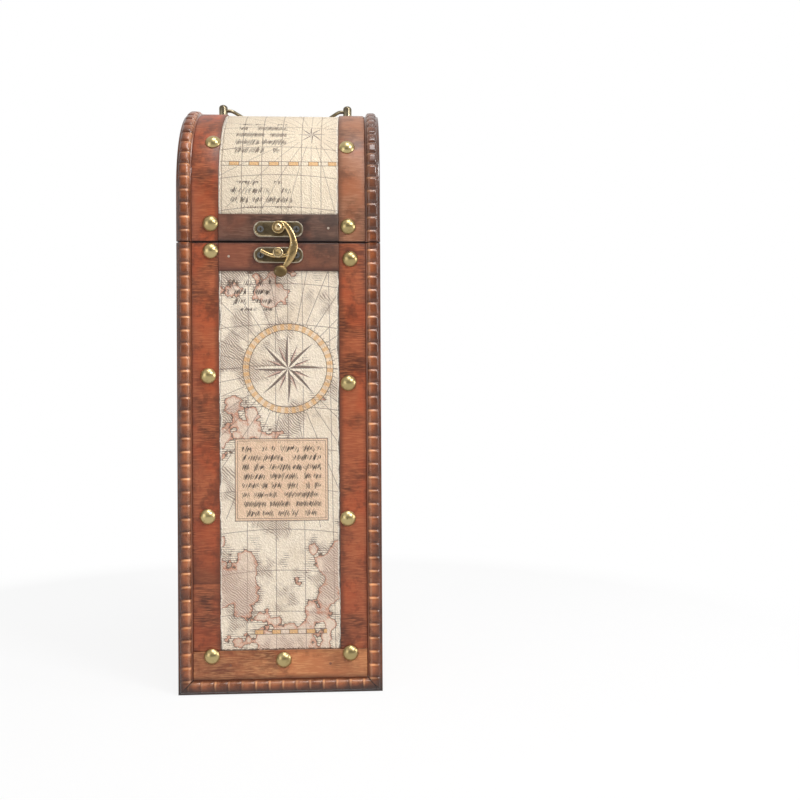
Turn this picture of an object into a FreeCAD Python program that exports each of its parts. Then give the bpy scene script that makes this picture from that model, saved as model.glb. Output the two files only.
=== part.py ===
import FreeCAD, Part
import os
import re

# Wooden gift box with a domed lid, in millimetres.
# The origin is the middle of the base, +Z is up and the front faces -Y.
doc = FreeCAD.newDocument("gift_box")

# Driving sizes
SIZES = (
    ("box_width", 117, "over the two side boards"),
    ("box_depth", 116, "over the front and back boards"),
    ("body_height", 264, "base to seam"),
    ("board_thick", 4.5, "all boards"),
    ("lid_wall_high", 31, "straight part of the lid, seam to dome"),
    ("seam_relief", 0.4, "how far the facings stop short of the seam"),
    ("back_stop", 18, "height above the seam where the lid facings end at the back"),
    ("stile_width", 15.5, "wood strip between print and trim"),
    ("print_thick", 0.8, "printed leatherette"),
    ("strip_thick", 1.6, "stiles and lid strips"),
    ("rail_thick", 2.2, "rails stand proud of the stiles"),
    ("top_rail_high", 16.9, "rail below the seam"),
    ("bottom_rail_high", 16.5, "rail above the bottom trim"),
    ("lid_rail_high", 16.4, "rail above the seam"),
    ("trim_width", 9, "embossed trim on the front"),
    ("trim_proud", 3.4, "embossed trim above the boards"),
    ("trim_wrap", 4, "flap of the trim on the side"),
    ("wrap_thick", 1, "thickness of that flap"),
    ("trim_round", 1.5, "rounding of the long trim edges"),
    ("cell_pitch", 7.85, "from one embossed cell to the next"),
    ("cell_margin", 1.5, "smooth edge of the trim beside its cells"),
    ("groove_wide", 0.9, "groove between two cells"),
    ("groove_deep", 0.8, "depth of that groove"),
    ("nail_head_wide", 9.2, "dome-head nail"),
    ("nail_head_high", 2.8, "dome-head nail"),
    ("nail_shank_wide", 1.8, "dome-head nail"),
    ("nail_shank_long", 5, "dome-head nail"),
    ("nail_inset", 5, "nail column outward of the print edge"),
    ("nail_lowest", 22.8, "lowest nail row above the base"),
    ("nail_pitch", 80.2, "between the lower nail rows"),
    ("nail_top_drop", 7.5, "top nail row below the seam"),
    ("lid_nail_rise", 10.1, "lid nail row above the seam"),
    ("lid_nail_angle", 28.3, "lid nails on the dome, above its springing line"),
    ("brad_wide", 1.4, "small nail in the rails"),
    ("brad_long", 4, "small nail in the rails"),
    ("brad_inset", 6, "small nail from the rail end"),
    ("plate_long", 28.6, "latch plates"),
    ("plate_wide", 9.2, "latch plates"),
    ("plate_thick", 1.2, "latch plates and hinge leaves"),
    ("latch_rise", 7.3, "latch plate centre above the seam"),
    ("catch_drop", 7.8, "catch plate centre below the seam"),
    ("rivet_rise", 8.2, "hook pivot above the seam"),
    ("post_drop", 7, "catch post below the seam"),
    ("screw_spread", 20.8, "between the two screws of a latch plate"),
    ("screw_head_wide", 3.8, "countersunk screws"),
    ("screw_head_deep", 1, "countersunk screws"),
    ("screw_shank_wide", 2, "countersunk screws"),
    ("screw_shank_long", 3.2, "countersunk screws"),
    ("recess_long", 2.4, "cross recess of the screws"),
    ("recess_wide", 0.6, "cross recess of the screws"),
    ("recess_deep", 0.5, "cross recess of the screws"),
    ("rivet_wide", 2.4, "hook pivot"),
    ("rivet_head_wide", 4.8, "hook pivot"),
    ("rivet_head_high", 1.4, "hook pivot"),
    ("neck_wide", 2, "catch post under its head"),
    ("post_head_wide", 6.2, "catch post"),
    ("post_head_high", 2.6, "catch post"),
    ("side_play", 0.2, "gap along a pivot"),
    ("run_fit", 0.08, "radial gap round a pivot"),
    ("hook_thick", 1.6, "flat hook"),
    ("eye_radius", 3.7, "hook round its pivot"),
    ("arm_left", 4.7, "centre of the hook arm, left of the pivot"),
    ("arm_drop", 10.3, "centre of the hook arm, below the pivot"),
    ("arm_outer", 15, "outer radius of the hook arm"),
    ("arm_wide", 4.2, "width of the hook arm in its middle"),
    ("arm_taper", 4.9, "inner curve of the hook arm, its centre left of the outer one"),
    ("arm_lean", 1.5, "inner curve of the hook arm, its centre below the outer one"),
    ("prong_gap", 0.3, "between the hook prong and the post neck"),
    ("prong_wide", 2.2, "width of the hook prong"),
    ("prong_angle", 36, "prong tip, left of straight down from the pivot"),
    ("thumb_radius", 4, "round thumb end of the hook"),
    ("thumb_thick", 3, "thumb end, thicker than the rest of the hook"),
    ("thumb_right", 1.1, "thumb end, right of the pivot"),
    ("thumb_drop", 25.8, "thumb end, below the pivot"),
    ("hinge_inset", 27, "hinge centre from the side of the box"),
    ("leaf_long", 24, "hinge leaf along the seam"),
    ("leaf_high", 14, "hinge leaf away from the seam"),
    ("knuckle_radius", 2.1, "hinge barrel"),
    ("knuckle_long", 9, "middle hinge knuckle"),
    ("hinge_gap", 0.3, "between knuckles, and between barrel and board"),
    ("pin_radius", 1, "hinge pin"),
    ("leaf_screw_out", 7.5, "leaf screw from the hinge centre"),
    ("leaf_screw_rise", 8.5, "leaf screw from the seam"),
    ("lug_inset", 5.2, "handle post outward of the print edge"),
    ("lug_radius", 2.8, "handle post"),
    ("lug_high", 6.2, "handle post up to its round top"),
    ("lug_eye_high", 5.4, "handle post eye above the wood strip"),
    ("lug_shank_wide", 3, "threaded shank of the handle post"),
    ("lug_shank_long", 9, "threaded shank of the handle post"),
    ("nut_radius", 3.2, "nut inside the lid, over its corners"),
    ("nut_high", 2.4, "nut inside the lid"),
    ("wire_radius", 1.1, "bail wire"),
    ("bail_shoulder", 2.5, "straight wire inside each post"),
    ("bail_reach", 19, "how far the bow stands off its pivot line"),
    ("bail_rest_gap", 0.3, "bail above the print when it lies down"),
    ("rivet_end_radius", 2, "flattened wire end outside the post"),
    ("rivet_end_long", 0.8, "flattened wire end outside the post"),
)

sheet = doc.addObject("Spreadsheet::Sheet", "dim")
for row, (alias, value, note) in enumerate(SIZES, start=1):
    sheet.set(f"A{row}", note)
    sheet.set(f"B{row}", str(value))
    sheet.setAlias(f"B{row}", alias)
doc.recompute()
size_names = {alias for alias, value, note in SIZES}


def formula(text):
    """Turn size names in a plain sum into references to the sheet."""
    return re.sub(r"[a-z_]+", lambda word: f"dim.{word[0]}" if word[0] in size_names else word[0], text)


def bind(piece, formulas):
    for prop, text in formulas.items():
        piece.setExpression(prop, formula(text))


# Ways that a shape's own Z axis can point
TURNS = {
    "up": FreeCAD.Rotation(FreeCAD.Vector(0, 0, 1), 0),
    "front": FreeCAD.Rotation(FreeCAD.Vector(1, 0, 0), 90),
    "back": FreeCAD.Rotation(FreeCAD.Vector(1, 0, 0), -90),
    "right": FreeCAD.Rotation(FreeCAD.Vector(0, 1, 0), 90),
    "arch": FreeCAD.Rotation(FreeCAD.Vector(1, 1, 1), 120),
}


def place(piece, at, turn="up"):
    piece.Placement = FreeCAD.Placement(FreeCAD.Vector(), TURNS[turn])
    for axis, text in zip("xyz", at):
        bind(piece, {f"Placement.Base.{axis}": text})


def span(piece, x, y, z):
    """Give a box its low and high side along each axis."""
    for side, axis, (low, high) in (("Length", "x", x), ("Width", "y", y), ("Height", "z", z)):
        bind(piece, {side: f"({high}) - ({low})", f"Placement.Base.{axis}": low})


def block(name, x, y, z):
    piece = doc.addObject("Part::Box", name)
    span(piece, x, y, z)
    return piece


def rod(name, radius, length, at, turn="up"):
    piece = doc.addObject("Part::Cylinder", name)
    bind(piece, {"Radius": radius, "Height": length})
    place(piece, at, turn)
    return piece


def dome_cap(name, wide, high, base="0"):
    """A round cap, `wide` across and `high` in the middle, that stands `base` above the XY plane."""
    ball = f"(({wide})^2 / 4 + ({high})^2) / (2 * ({high}))"
    piece = doc.addObject("Part::Sphere", name)
    bind(piece, {"Radius": ball, "Angle1": f"asin(({ball} - ({high})) / ({ball}))"})
    place(piece, ("0", "0", f"{base} + ({high}) - {ball}"))
    return piece


def joined(name, pieces):
    piece = doc.addObject("Part::MultiFuse", name)
    piece.Shapes = pieces
    return piece


def group(name, pieces):
    piece = doc.addObject("Part::Compound", name)
    piece.Links = pieces
    return piece


def cut(name, base, tools):
    piece = doc.addObject("Part::Cut", name)
    piece.Base = base
    piece.Tool = tools[0] if len(tools) == 1 else group(f"{name}_tools", tools)
    return piece


def overlap(name, one, other):
    piece = doc.addObject("Part::Common", name)
    piece.Base = one
    piece.Tool = other
    return piece


def mirrored(name, source):
    """The same piece on the other side of the middle plane."""
    piece = doc.addObject("Part::Mirroring", name)
    piece.Source = source
    piece.Normal = FreeCAD.Vector(1, 0, 0)
    return piece


# Main planes of the box
front = "-box_depth / 2"
back = "box_depth / 2"
left = "-box_width / 2"
right = "box_width / 2"
seam = "body_height"
spring = "body_height + lid_wall_high"
trim_outer = "-(box_width / 2 + wrap_thick)"
trim_inner = "trim_width - box_width / 2 - wrap_thick"
full_width = (left, right)
facing_top = f"{seam} - seam_relief"
facing_bottom = f"{seam} + seam_relief"


# Nails, brads and screws
def nail(name, at, tilt):
    """A dome-head nail; its head leans `tilt` degrees from straight up toward the front."""
    head = dome_cap(f"{name}_head", "nail_head_wide", "nail_head_high")
    shank = rod(f"{name}_shank", "nail_shank_wide / 2", "nail_shank_long", ("0", "0", "-nail_shank_long"))
    piece = joined(name, [head, shank])
    place(piece, at, "front")
    bind(piece, {"Placement.Rotation.Angle": tilt})
    return piece


def brad(name, at):
    return rod(name, "brad_wide / 2", "brad_long", at, "front")


def screw_blank(name):
    head = doc.addObject("Part::Cone", f"{name}_head")
    bind(head, {"Radius1": "screw_shank_wide / 2", "Radius2": "screw_head_wide / 2", "Height": "screw_head_deep"})
    place(head, ("0", "0", "-screw_head_deep"))
    length = "screw_shank_long + screw_head_deep"
    shank = rod(f"{name}_shank", "screw_shank_wide / 2", length, ("0", "0", f"-({length})"))
    return joined(name, [head, shank])


def screw(name, at, turn):
    """A countersunk cross-head screw with its face at `at`, and the solid that drills its hole."""
    half_long = ("-recess_long / 2", "recess_long / 2")
    half_wide = ("-recess_wide / 2", "recess_wide / 2")
    depth = ("-recess_deep", "0")
    bar = block(f"{name}_bar", half_long, half_wide, depth)
    cross = block(f"{name}_cross", half_wide, half_long, depth)
    piece = cut(name, screw_blank(f"{name}_blank"), [joined(f"{name}_recess", [bar, cross])])
    drill = screw_blank(f"{name}_drill")
    place(piece, at, turn)
    place(drill, at, turn)
    return piece, drill


# Facings that stand on the front board
print_half = "(box_width / 2 + wrap_thick - trim_width - stile_width)"
stile_x = (trim_inner, f"-{print_half}")
print_x = (f"-{print_half}", print_half)
stile_face = f"{front} - strip_thick"
rail_face = f"{front} - rail_thick"
plate_face = f"{rail_face} - plate_thick"
nail_x = f"-({print_half} + nail_inset)"
rail_top = "trim_width + bottom_rail_high"
brad_left = f"brad_inset - {print_half}"

# The nails were set by hand, so each has its own small drift: outward and up, left nail and right nail
NAIL_ROWS = (
    ("foot_nail", "nail_lowest", rail_face, (-0.2, -0.2), (0.7, 0.3)),
    ("low_nail", "nail_lowest + nail_pitch", stile_face, (2, 0.8), (-0.3, -1.1)),
    ("high_nail", "nail_lowest + 2 * nail_pitch", stile_face, (1.3, 2.7), (0.4, -1.9)),
    ("top_nail", f"{seam} - nail_top_drop", stile_face, (-0.4, 2.3), (1.7, -2.2)),
)


def nail_pair(name, z, face, left_drift, right_drift):
    """A nail in each of the two nail columns, at about the same height."""
    left_nail = nail(f"left_{name}", (f"{nail_x} - ({left_drift[0]})", face, f"{z} + ({left_drift[1]})"), "90")
    right_nail = nail(f"right_{name}", (f"-({nail_x}) + ({right_drift[0]})", face, f"{z} + ({right_drift[1]})"), "90")
    return left_nail, right_nail


nail_pairs = [nail_pair(*row) for row in NAIL_ROWS]
middle_nail = nail("middle_foot_nail", ("1.8", rail_face, "nail_lowest - 2.9"), "90")
front_nails = group("front_nails", [one for pair in nail_pairs for one in pair] + [middle_nail])

brad_in = f"{rail_face} + brad_long - strip_thick / 10"
left_brads = group("left_brads", [
    brad("top_rail_brad", (brad_left, brad_in, f"{seam} - top_rail_high / 2")),
    brad("bottom_rail_brad", (brad_left, brad_in, "trim_width + bottom_rail_high / 2")),
])
front_brads = group("front_brads", [left_brads, mirrored("right_brads", left_brads)])

# Catch on the box: plate, two screws and a mushroom post
catch_z = f"{seam} - catch_drop"
post_z = f"{seam} - post_drop"
catch_screw, catch_drill = screw("left_catch_screw", ("-screw_spread / 2", plate_face, catch_z), "front")
catch_screws = group("catch_screws", [catch_screw, mirrored("right_catch_screw", catch_screw)])
catch_drills = group("catch_drills", [catch_drill, mirrored("right_catch_drill", catch_drill)])

neck_long = "plate_thick + side_play + hook_thick + side_play"
post_side = "0.7 * post_head_high"
post_head = rod("catch_post_head", "post_head_wide / 2", post_side, ("0", "0", "0"))
post_top = dome_cap("catch_post_top", "post_head_wide", "0.3 * post_head_high", post_side)
post_neck = rod("catch_post_neck", "neck_wide / 2", neck_long, ("0", "0", f"-({neck_long})"))
catch_post = joined("catch_post", [post_head, post_top, post_neck])
hook_front = f"{plate_face} - side_play - hook_thick"
place(catch_post, ("0", f"{hook_front} - side_play", post_z), "front")


def latch_plate_blank(name, z):
    half = "(plate_long - plate_wide) / 2"
    depth = (plate_face, rail_face)
    middle = block(f"{name}_middle", (f"-{half}", half), depth, (f"{z} - plate_wide / 2", f"{z} + plate_wide / 2"))
    ends = [
        rod(f"{name}_left_end", "plate_wide / 2", "plate_thick", (f"-{half}", rail_face, z), "front"),
        rod(f"{name}_right_end", "plate_wide / 2", "plate_thick", (half, rail_face, z), "front"),
    ]
    return joined(f"{name}_blank", [middle] + ends)


catch_plate = cut("catch_plate", latch_plate_blank("catch", catch_z), [catch_drills, catch_post])

# Hinge screws, needed before the boards that they go into
hinge_x = f"{left} + hinge_inset"


def hinge_screws(name, z):
    inner, inner_drill = screw(f"{name}_inner", (f"{hinge_x} + leaf_screw_out", f"{back} + plate_thick", z), "back")
    outer, outer_drill = screw(f"{name}_outer", (f"{hinge_x} - leaf_screw_out", f"{back} + plate_thick", z), "back")
    pair = group(f"{name}_pair", [inner, outer])
    drills = group(f"{name}_drills", [inner_drill, outer_drill])
    screws = group(name, [pair, mirrored(f"{name}_other_pair", pair)])
    return screws, drills, group(f"{name}_all_drills", [drills, mirrored(f"{name}_other_drills", drills)])


hinge_body_screws, body_drills, all_body_drills = hinge_screws("hinge_body_screws", f"{seam} - leaf_screw_rise")
hinge_lid_screws, lid_drills, all_lid_drills = hinge_screws("hinge_lid_screws", f"{seam} + leaf_screw_rise")

# Five boards of the box
body_z = ("0", seam)
inside_x = (f"{left} + board_thick", f"{right} - board_thick")
inside_y = (f"{front} + board_thick", f"{back} - board_thick")
front_y = (front, f"{front} + board_thick")
back_y = (f"{back} - board_thick", back)
left_x = (left, f"{left} + board_thick")

bottom_board = block("bottom_board", inside_x, inside_y, ("0", "board_thick"))
front_blank = block("front_board_blank", full_width, front_y, body_z)
front_board = cut("front_board", front_blank, [front_nails, front_brads, catch_drills])
back_board = cut("back_board", block("back_board_blank", full_width, back_y, body_z), [all_body_drills])
left_side_board = block("left_side_board", left_x, inside_y, body_z)
right_side_board = mirrored("right_side_board", left_side_board)

# Print, stiles and rails of the front
print_z = (rail_top, f"{seam} - top_rail_high")
front_print_panel = block("front_print_panel", print_x, (f"{front} - print_thick", front), print_z)
stile_blank = block("front_stile_blank", stile_x, (stile_face, front), (rail_top, facing_top))
left_stile_nails, right_stile_nails = zip(*nail_pairs[1:])
front_left_stile = cut("front_left_stile", stile_blank, list(left_stile_nails))
other_stile_blank = mirrored("other_stile_blank", stile_blank)
front_right_stile = cut("front_right_stile", other_stile_blank, list(right_stile_nails))
rail_y = (rail_face, front)
top_rail_blank = block("front_top_rail_blank", print_x, rail_y, (f"{seam} - top_rail_high", facing_top))
front_top_rail = cut("front_top_rail", top_rail_blank, [catch_drills, front_brads])
foot_x = (trim_inner, f"-({trim_inner})")
foot_rail_blank = block("front_bottom_rail_blank", foot_x, rail_y, ("trim_width", rail_top))
front_bottom_rail = cut("front_bottom_rail", foot_rail_blank, [front_nails, front_brads])


# Embossed trims: a rounded strip on the front with a flap on the side, grooved into cells
def body_box(body, kind, name, x, y, z):
    piece = body.newObject(f"PartDesign::{kind}Box", name)
    span(piece, x, y, z)
    return piece


def body_rod(body, kind, name, radius, length, x):
    """Half a cylinder about the body's own X axis, above the XY plane."""
    piece = body.newObject(f"PartDesign::{kind}Cylinder", name)
    piece.Angle = 180
    bind(piece, {"Radius": radius, "Height": length})
    place(piece, (x, "0", "0"), "arch")
    return piece


def round_long_edges(body, name, base, on_ridge):
    """Round every edge that runs lengthwise where the test `on_ridge` holds at both ends."""
    doc.recompute()
    names = []
    for number, edge in enumerate(base.Shape.Edges, start=1):
        start, end = edge.Vertexes[0].Point, edge.Vertexes[-1].Point
        if on_ridge(start) and on_ridge(end) and not crosswise(start, end):
            names.append(f"Edge{number}")
    rounding = body.newObject("PartDesign::Fillet", name)
    rounding.Base = (base, names)
    bind(rounding, {"Radius": "trim_round"})
    return rounding


def crosswise(start, end):
    """True for the short edges across the trim's width."""
    spread = end - start
    return abs(abs(spread.x) + abs(spread.y) + abs(spread.z) - sheet.trim_width) < 0.01


def repeat_line(body, name, groove, axis, count, back_to_front=False):
    pattern = body.newObject("PartDesign::LinearPattern", name)
    pattern.Originals = [groove]
    body.Tip = pattern
    pattern.Direction = ([f for f in body.Origin.OriginFeatures if f.Role == f"{axis}_Axis"][0], [""])
    pattern.Mode = "Spacing"
    pattern.Reversed = back_to_front
    bind(pattern, {"Offset": "cell_pitch", "Occurrences": count})
    return pattern


def mitre(body, name, at_left, below):
    """Cut a trim end along the diagonal of the bottom corner, below or above that diagonal."""
    wedge = body.newObject("PartDesign::SubtractiveBox", name)
    long = "2 * trim_width"
    bind(wedge, {"Length": long, "Width": "trim_proud + trim_wrap", "Height": "trim_width"})
    turn = -45 if at_left else -135
    lifted = "0" if below != at_left else "-trim_width"
    bind(wedge, {"Placement.Base.y": f"{front} - trim_proud"})
    rotation = FreeCAD.Rotation(FreeCAD.Vector(0, 1, 0), turn)
    wedge.Placement = FreeCAD.Placement(FreeCAD.Vector(), rotation)
    shift = rotation.multVec(FreeCAD.Vector(0, 0, 1))
    corner = trim_outer if at_left else f"-({trim_outer})"
    bind(wedge, {"Placement.Base.x": f"{corner} + ({lifted}) * {shift.x:.9f}"})
    bind(wedge, {"Placement.Base.z": f"({lifted}) * {shift.z:.9f}"})
    return wedge


trim_x = (trim_outer, trim_inner)
trim_y = (f"{front} - trim_proud", front)
flap_x = (trim_outer, left)
flap_y = (front, f"{front} + trim_wrap")
groove_x = (f"{trim_outer} + cell_margin", f"{trim_inner} - cell_margin")
groove_y = (f"{front} - trim_proud", f"{front} - trim_proud + groove_deep")
ridge = sheet.box_depth / 2 + sheet.trim_proud


def at_front_ridge(point):
    return abs(point.y + ridge) < 0.01


left_edge_trim = doc.addObject("PartDesign::Body", "left_edge_trim")
trim_z = ("0", facing_top)
body_box(left_edge_trim, "Additive", "left_trim_face", trim_x, trim_y, trim_z)
left_flap = body_box(left_edge_trim, "Additive", "left_trim_flap", flap_x, flap_y, trim_z)
round_long_edges(left_edge_trim, "left_trim_rounding", left_flap, at_front_ridge)
groove_z = ("trim_width - groove_wide / 2", "trim_width + groove_wide / 2")
left_groove = body_box(left_edge_trim, "Subtractive", "left_trim_groove", groove_x, groove_y, groove_z)
cell_count = "floor((body_height - trim_width) / cell_pitch) + 1"
repeat_line(left_edge_trim, "left_trim_cells", left_groove, "Z", cell_count)
left_edge_trim.Tip = mitre(left_edge_trim, "left_trim_mitre", True, True)
right_edge_trim = mirrored("right_edge_trim", left_edge_trim)

bottom_edge_trim = doc.addObject("PartDesign::Body", "bottom_edge_trim")
foot_trim_x = (trim_outer, f"-({trim_outer})")
foot_face = body_box(bottom_edge_trim, "Additive", "foot_trim_face", foot_trim_x, trim_y, ("0", "trim_width"))
round_long_edges(bottom_edge_trim, "foot_trim_rounding", foot_face, at_front_ridge)
foot_groove_x = (f"{trim_inner} - groove_wide / 2", f"{trim_inner} + groove_wide / 2")
foot_groove_z = ("cell_margin", "trim_width - cell_margin")
foot_groove = body_box(bottom_edge_trim, "Subtractive", "foot_trim_groove", foot_groove_x, groove_y, foot_groove_z)
foot_count = f"floor(-2 * ({trim_inner}) / cell_pitch) + 1"
repeat_line(bottom_edge_trim, "foot_trim_cells", foot_groove, "X", foot_count)
mitre(bottom_edge_trim, "foot_trim_left_mitre", True, False)
bottom_edge_trim.Tip = mitre(bottom_edge_trim, "foot_trim_right_mitre", False, False)

# Hinges: the box leaf has the two outer knuckles, the lid leaf the middle one
axis_y = f"{back} + hinge_gap + knuckle_radius"
leaf_x = (f"{hinge_x} - leaf_long / 2", f"{hinge_x} + leaf_long / 2")
leaf_y = (back, f"{back} + plate_thick")
first_x = (leaf_x[0], f"{hinge_x} - knuckle_long / 2 - hinge_gap")
middle_x = (f"{hinge_x} - knuckle_long / 2", f"{hinge_x} + knuckle_long / 2")
last_x = (f"{hinge_x} + knuckle_long / 2 + hinge_gap", leaf_x[1])
clear = "knuckle_radius + hinge_gap"


def barrel(name, radius, x):
    return rod(name, radius, f"({x[1]}) - ({x[0]})", (x[0], axis_y, seam), "right")


body_leaf_blank = joined("body_leaf_blank", [
    block("body_leaf_plate", leaf_x, leaf_y, (f"{seam} - leaf_high", f"{seam} - {clear}")),
    block("body_leaf_first_neck", first_x, leaf_y, (f"{seam} - {clear}", seam)),
    block("body_leaf_last_neck", last_x, leaf_y, (f"{seam} - {clear}", seam)),
    barrel("body_leaf_first_knuckle", "knuckle_radius", first_x),
    barrel("body_leaf_last_knuckle", "knuckle_radius", last_x),
])
left_hinge_pin = barrel("left_hinge_pin", "pin_radius", leaf_x)
right_hinge_pin = mirrored("right_hinge_pin", left_hinge_pin)
left_hinge_body_leaf = cut("left_hinge_body_leaf", body_leaf_blank, [left_hinge_pin, body_drills])
right_hinge_body_leaf = mirrored("right_hinge_body_leaf", left_hinge_body_leaf)

lid_leaf_blank = joined("lid_leaf_blank", [
    block("lid_leaf_plate", leaf_x, leaf_y, (f"{seam} + {clear}", f"{seam} + leaf_high")),
    block("lid_leaf_neck", middle_x, leaf_y, (seam, f"{seam} + {clear}")),
    barrel("lid_leaf_knuckle", "knuckle_radius", middle_x),
])
lid_leaf_bore = barrel("lid_leaf_bore", "pin_radius + run_fit", leaf_x)
left_hinge_lid_leaf = cut("left_hinge_lid_leaf", lid_leaf_blank, [lid_leaf_bore, lid_drills])
right_hinge_lid_leaf = mirrored("right_hinge_lid_leaf", left_hinge_lid_leaf)


# Lid: two cheeks, front and back boards and a sheet bent over them
def half_disc(name, radius, x):
    piece = doc.addObject("Part::Cylinder", name)
    piece.Angle = 180
    bind(piece, {"Radius": radius, "Height": f"({x[1]}) - ({x[0]})"})
    place(piece, (x[0], "0", spring), "arch")
    return piece


def half_ring(name, outer, inner, x):
    return cut(name, half_disc(f"{name}_outer", outer, x), [half_disc(f"{name}_inner", inner, x)])


def dome_band(name, x, thick, front_low):
    """A facing that climbs the front wall, follows the dome and ends on the back wall."""
    return joined(name, [
        block(f"{name}_front", x, (f"{front} - {thick}", front), (front_low, spring)),
        half_ring(f"{name}_arch", f"box_depth / 2 + {thick}", "box_depth / 2", x),
        block(f"{name}_back", x, (back, f"{back} + {thick}"), (f"{seam} + back_stop", spring)),
    ])


lid_z = (seam, spring)
lid_left_cheek = joined("lid_left_cheek", [
    block("cheek_wall", left_x, inside_y, lid_z),
    half_disc("cheek_arch", "box_depth / 2 - board_thick", left_x),
])
lid_right_cheek = mirrored("lid_right_cheek", lid_left_cheek)

# Nails and brads of the lid; two nails sit on the front of the dome and two on its back
strip_radius = "(box_depth / 2 + strip_thick)"


def dome_nail(name, x, toward, drift):
    """A nail on the bent strip, `drift` degrees higher or lower on the dome than its row."""
    angle = f"(lid_nail_angle + ({drift}))"
    out = f"{strip_radius} * cos({angle} * 1 deg)"
    up = f"{spring} + {strip_radius} * sin({angle} * 1 deg)"
    if toward == "front":
        return nail(name, (x, f"-{out}", up), f"90 - {angle}")
    return nail(name, (x, out, up), f"{angle} - 90")


left_seam_nail, right_seam_nail = nail_pair("seam_nail", f"{seam} + lid_nail_rise", stile_face, (-0.4, 0.7), (0.6, -0.7))
lid_left_nails = [
    left_seam_nail,
    dome_nail("left_dome_nail", f"{nail_x} + 0.9", "front", 1.5),
    dome_nail("left_back_nail", nail_x, "back", -1),
]
lid_right_nails = [
    right_seam_nail,
    dome_nail("right_dome_nail", f"-({nail_x}) + 0.1", "front", -1.6),
    dome_nail("right_back_nail", f"-({nail_x}) + 0.8", "back", 1.2),
]
lid_nails = group("lid_nails", lid_left_nails + lid_right_nails)
lid_left_brad = brad("lid_left_brad", (brad_left, brad_in, f"{seam} + lid_rail_high / 2"))
lid_brads = group("lid_brads", [lid_left_brad, mirrored("lid_right_brad", lid_left_brad)])

# Latch plate with its screws and the rivet that carries the hook
latch_z = f"{seam} + latch_rise"
pivot_z = f"{seam} + rivet_rise"
latch_screw, latch_drill = screw("left_latch_screw", ("-screw_spread / 2", plate_face, latch_z), "front")
latch_screws = group("latch_screws", [latch_screw, mirrored("right_latch_screw", latch_screw)])
latch_drills = group("latch_drills", [latch_drill, mirrored("right_latch_drill", latch_drill)])
rivet_head = dome_cap("latch_rivet_head", "rivet_head_wide", "rivet_head_high")
rivet_shank = rod("latch_rivet_shank", "rivet_wide / 2", neck_long, ("0", "0", f"-({neck_long})"))
latch_rivet = joined("latch_rivet", [rivet_head, rivet_shank])
place(latch_rivet, ("0", f"{hook_front} - side_play", pivot_z), "front")
latch_plate = cut("latch_plate", latch_plate_blank("latch", latch_z), [latch_drills, latch_rivet])

# Handle posts: a round-topped lug with a cross eye, a threaded shank and a nut inside
lug_x = f"-({print_half} + lug_inset)"
lug_base = f"{spring} + box_depth / 2 + strip_thick"
eye_z = f"{lug_base} + lug_eye_high"
lug_top = doc.addObject("Part::Sphere", "lug_top")
bind(lug_top, {"Radius": "lug_radius"})
place(lug_top, (lug_x, "0", f"{lug_base} + lug_high"))
lug_shank_low = f"{lug_base} - lug_shank_long"
lug_shank = rod("lug_shank", "lug_shank_wide / 2", "lug_shank_long", (lug_x, "0", lug_shank_low))
lug_blank = joined("lug_blank", [
    rod("lug_stem", "lug_radius", "lug_high", (lug_x, "0", lug_base)),
    lug_top,
    rod("lug_thread", "lug_shank_wide / 2", "lug_shank_long", (lug_x, "0", lug_shank_low)),
])
eye_start = (f"{lug_x} - 2 * lug_radius", "0", eye_z)
lug_eye = rod("lug_eye", "wire_radius + run_fit", "4 * lug_radius", eye_start, "right")
left_handle_post = cut("left_handle_post", lug_blank, [lug_eye])
right_handle_post = mirrored("right_handle_post", left_handle_post)
nut_blank = doc.addObject("Part::Prism", "nut_blank")
bind(nut_blank, {"Circumradius": "nut_radius", "Height": "nut_high"})
ceiling = f"{spring} + box_depth / 2 - board_thick"
place(nut_blank, (lug_x, "0", f"{ceiling} - nut_high - side_play"))
left_nut = cut("left_nut", nut_blank, [lug_shank])
handle_post_nuts = group("handle_post_nuts", [left_nut, mirrored("right_nut", left_nut)])
right_lug_shank = mirrored("right_lug_shank", lug_shank)
both_shanks = group("both_lug_shanks", [lug_shank, right_lug_shank])

# Lid boards and sheet, drilled for what goes through them
lid_front_blank = block("lid_front_board_blank", full_width, front_y, lid_z)
lid_front_board = cut("lid_front_board", lid_front_blank, [lid_nails, lid_brads, latch_drills])
lid_back_blank = block("lid_back_board_blank", full_width, back_y, lid_z)
lid_back_board = cut("lid_back_board", lid_back_blank, [all_lid_drills])
sheet_blank = half_ring("dome_sheet_blank", "box_depth / 2", "box_depth / 2 - board_thick", full_width)
lid_dome_sheet = cut("lid_dome_sheet", sheet_blank, [lid_nails, both_shanks])

# Facings of the lid
rail_low = f"{seam} + lid_rail_high"
lid_print_panel = dome_band("lid_print_panel", print_x, "print_thick", rail_low)
strip_blank = dome_band("lid_strip_blank", stile_x, "strip_thick", facing_bottom)
lid_left_strip = cut("lid_left_strip", strip_blank, lid_left_nails + [lug_shank])
other_strip_blank = mirrored("other_strip_blank", strip_blank)
lid_right_strip = cut("lid_right_strip", other_strip_blank, lid_right_nails + [right_lug_shank])
lid_rail_blank = block("lid_front_rail_blank", print_x, rail_y, (facing_bottom, rail_low))
lid_front_rail = cut("lid_front_rail", lid_rail_blank, [latch_drills, lid_brads])

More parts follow.
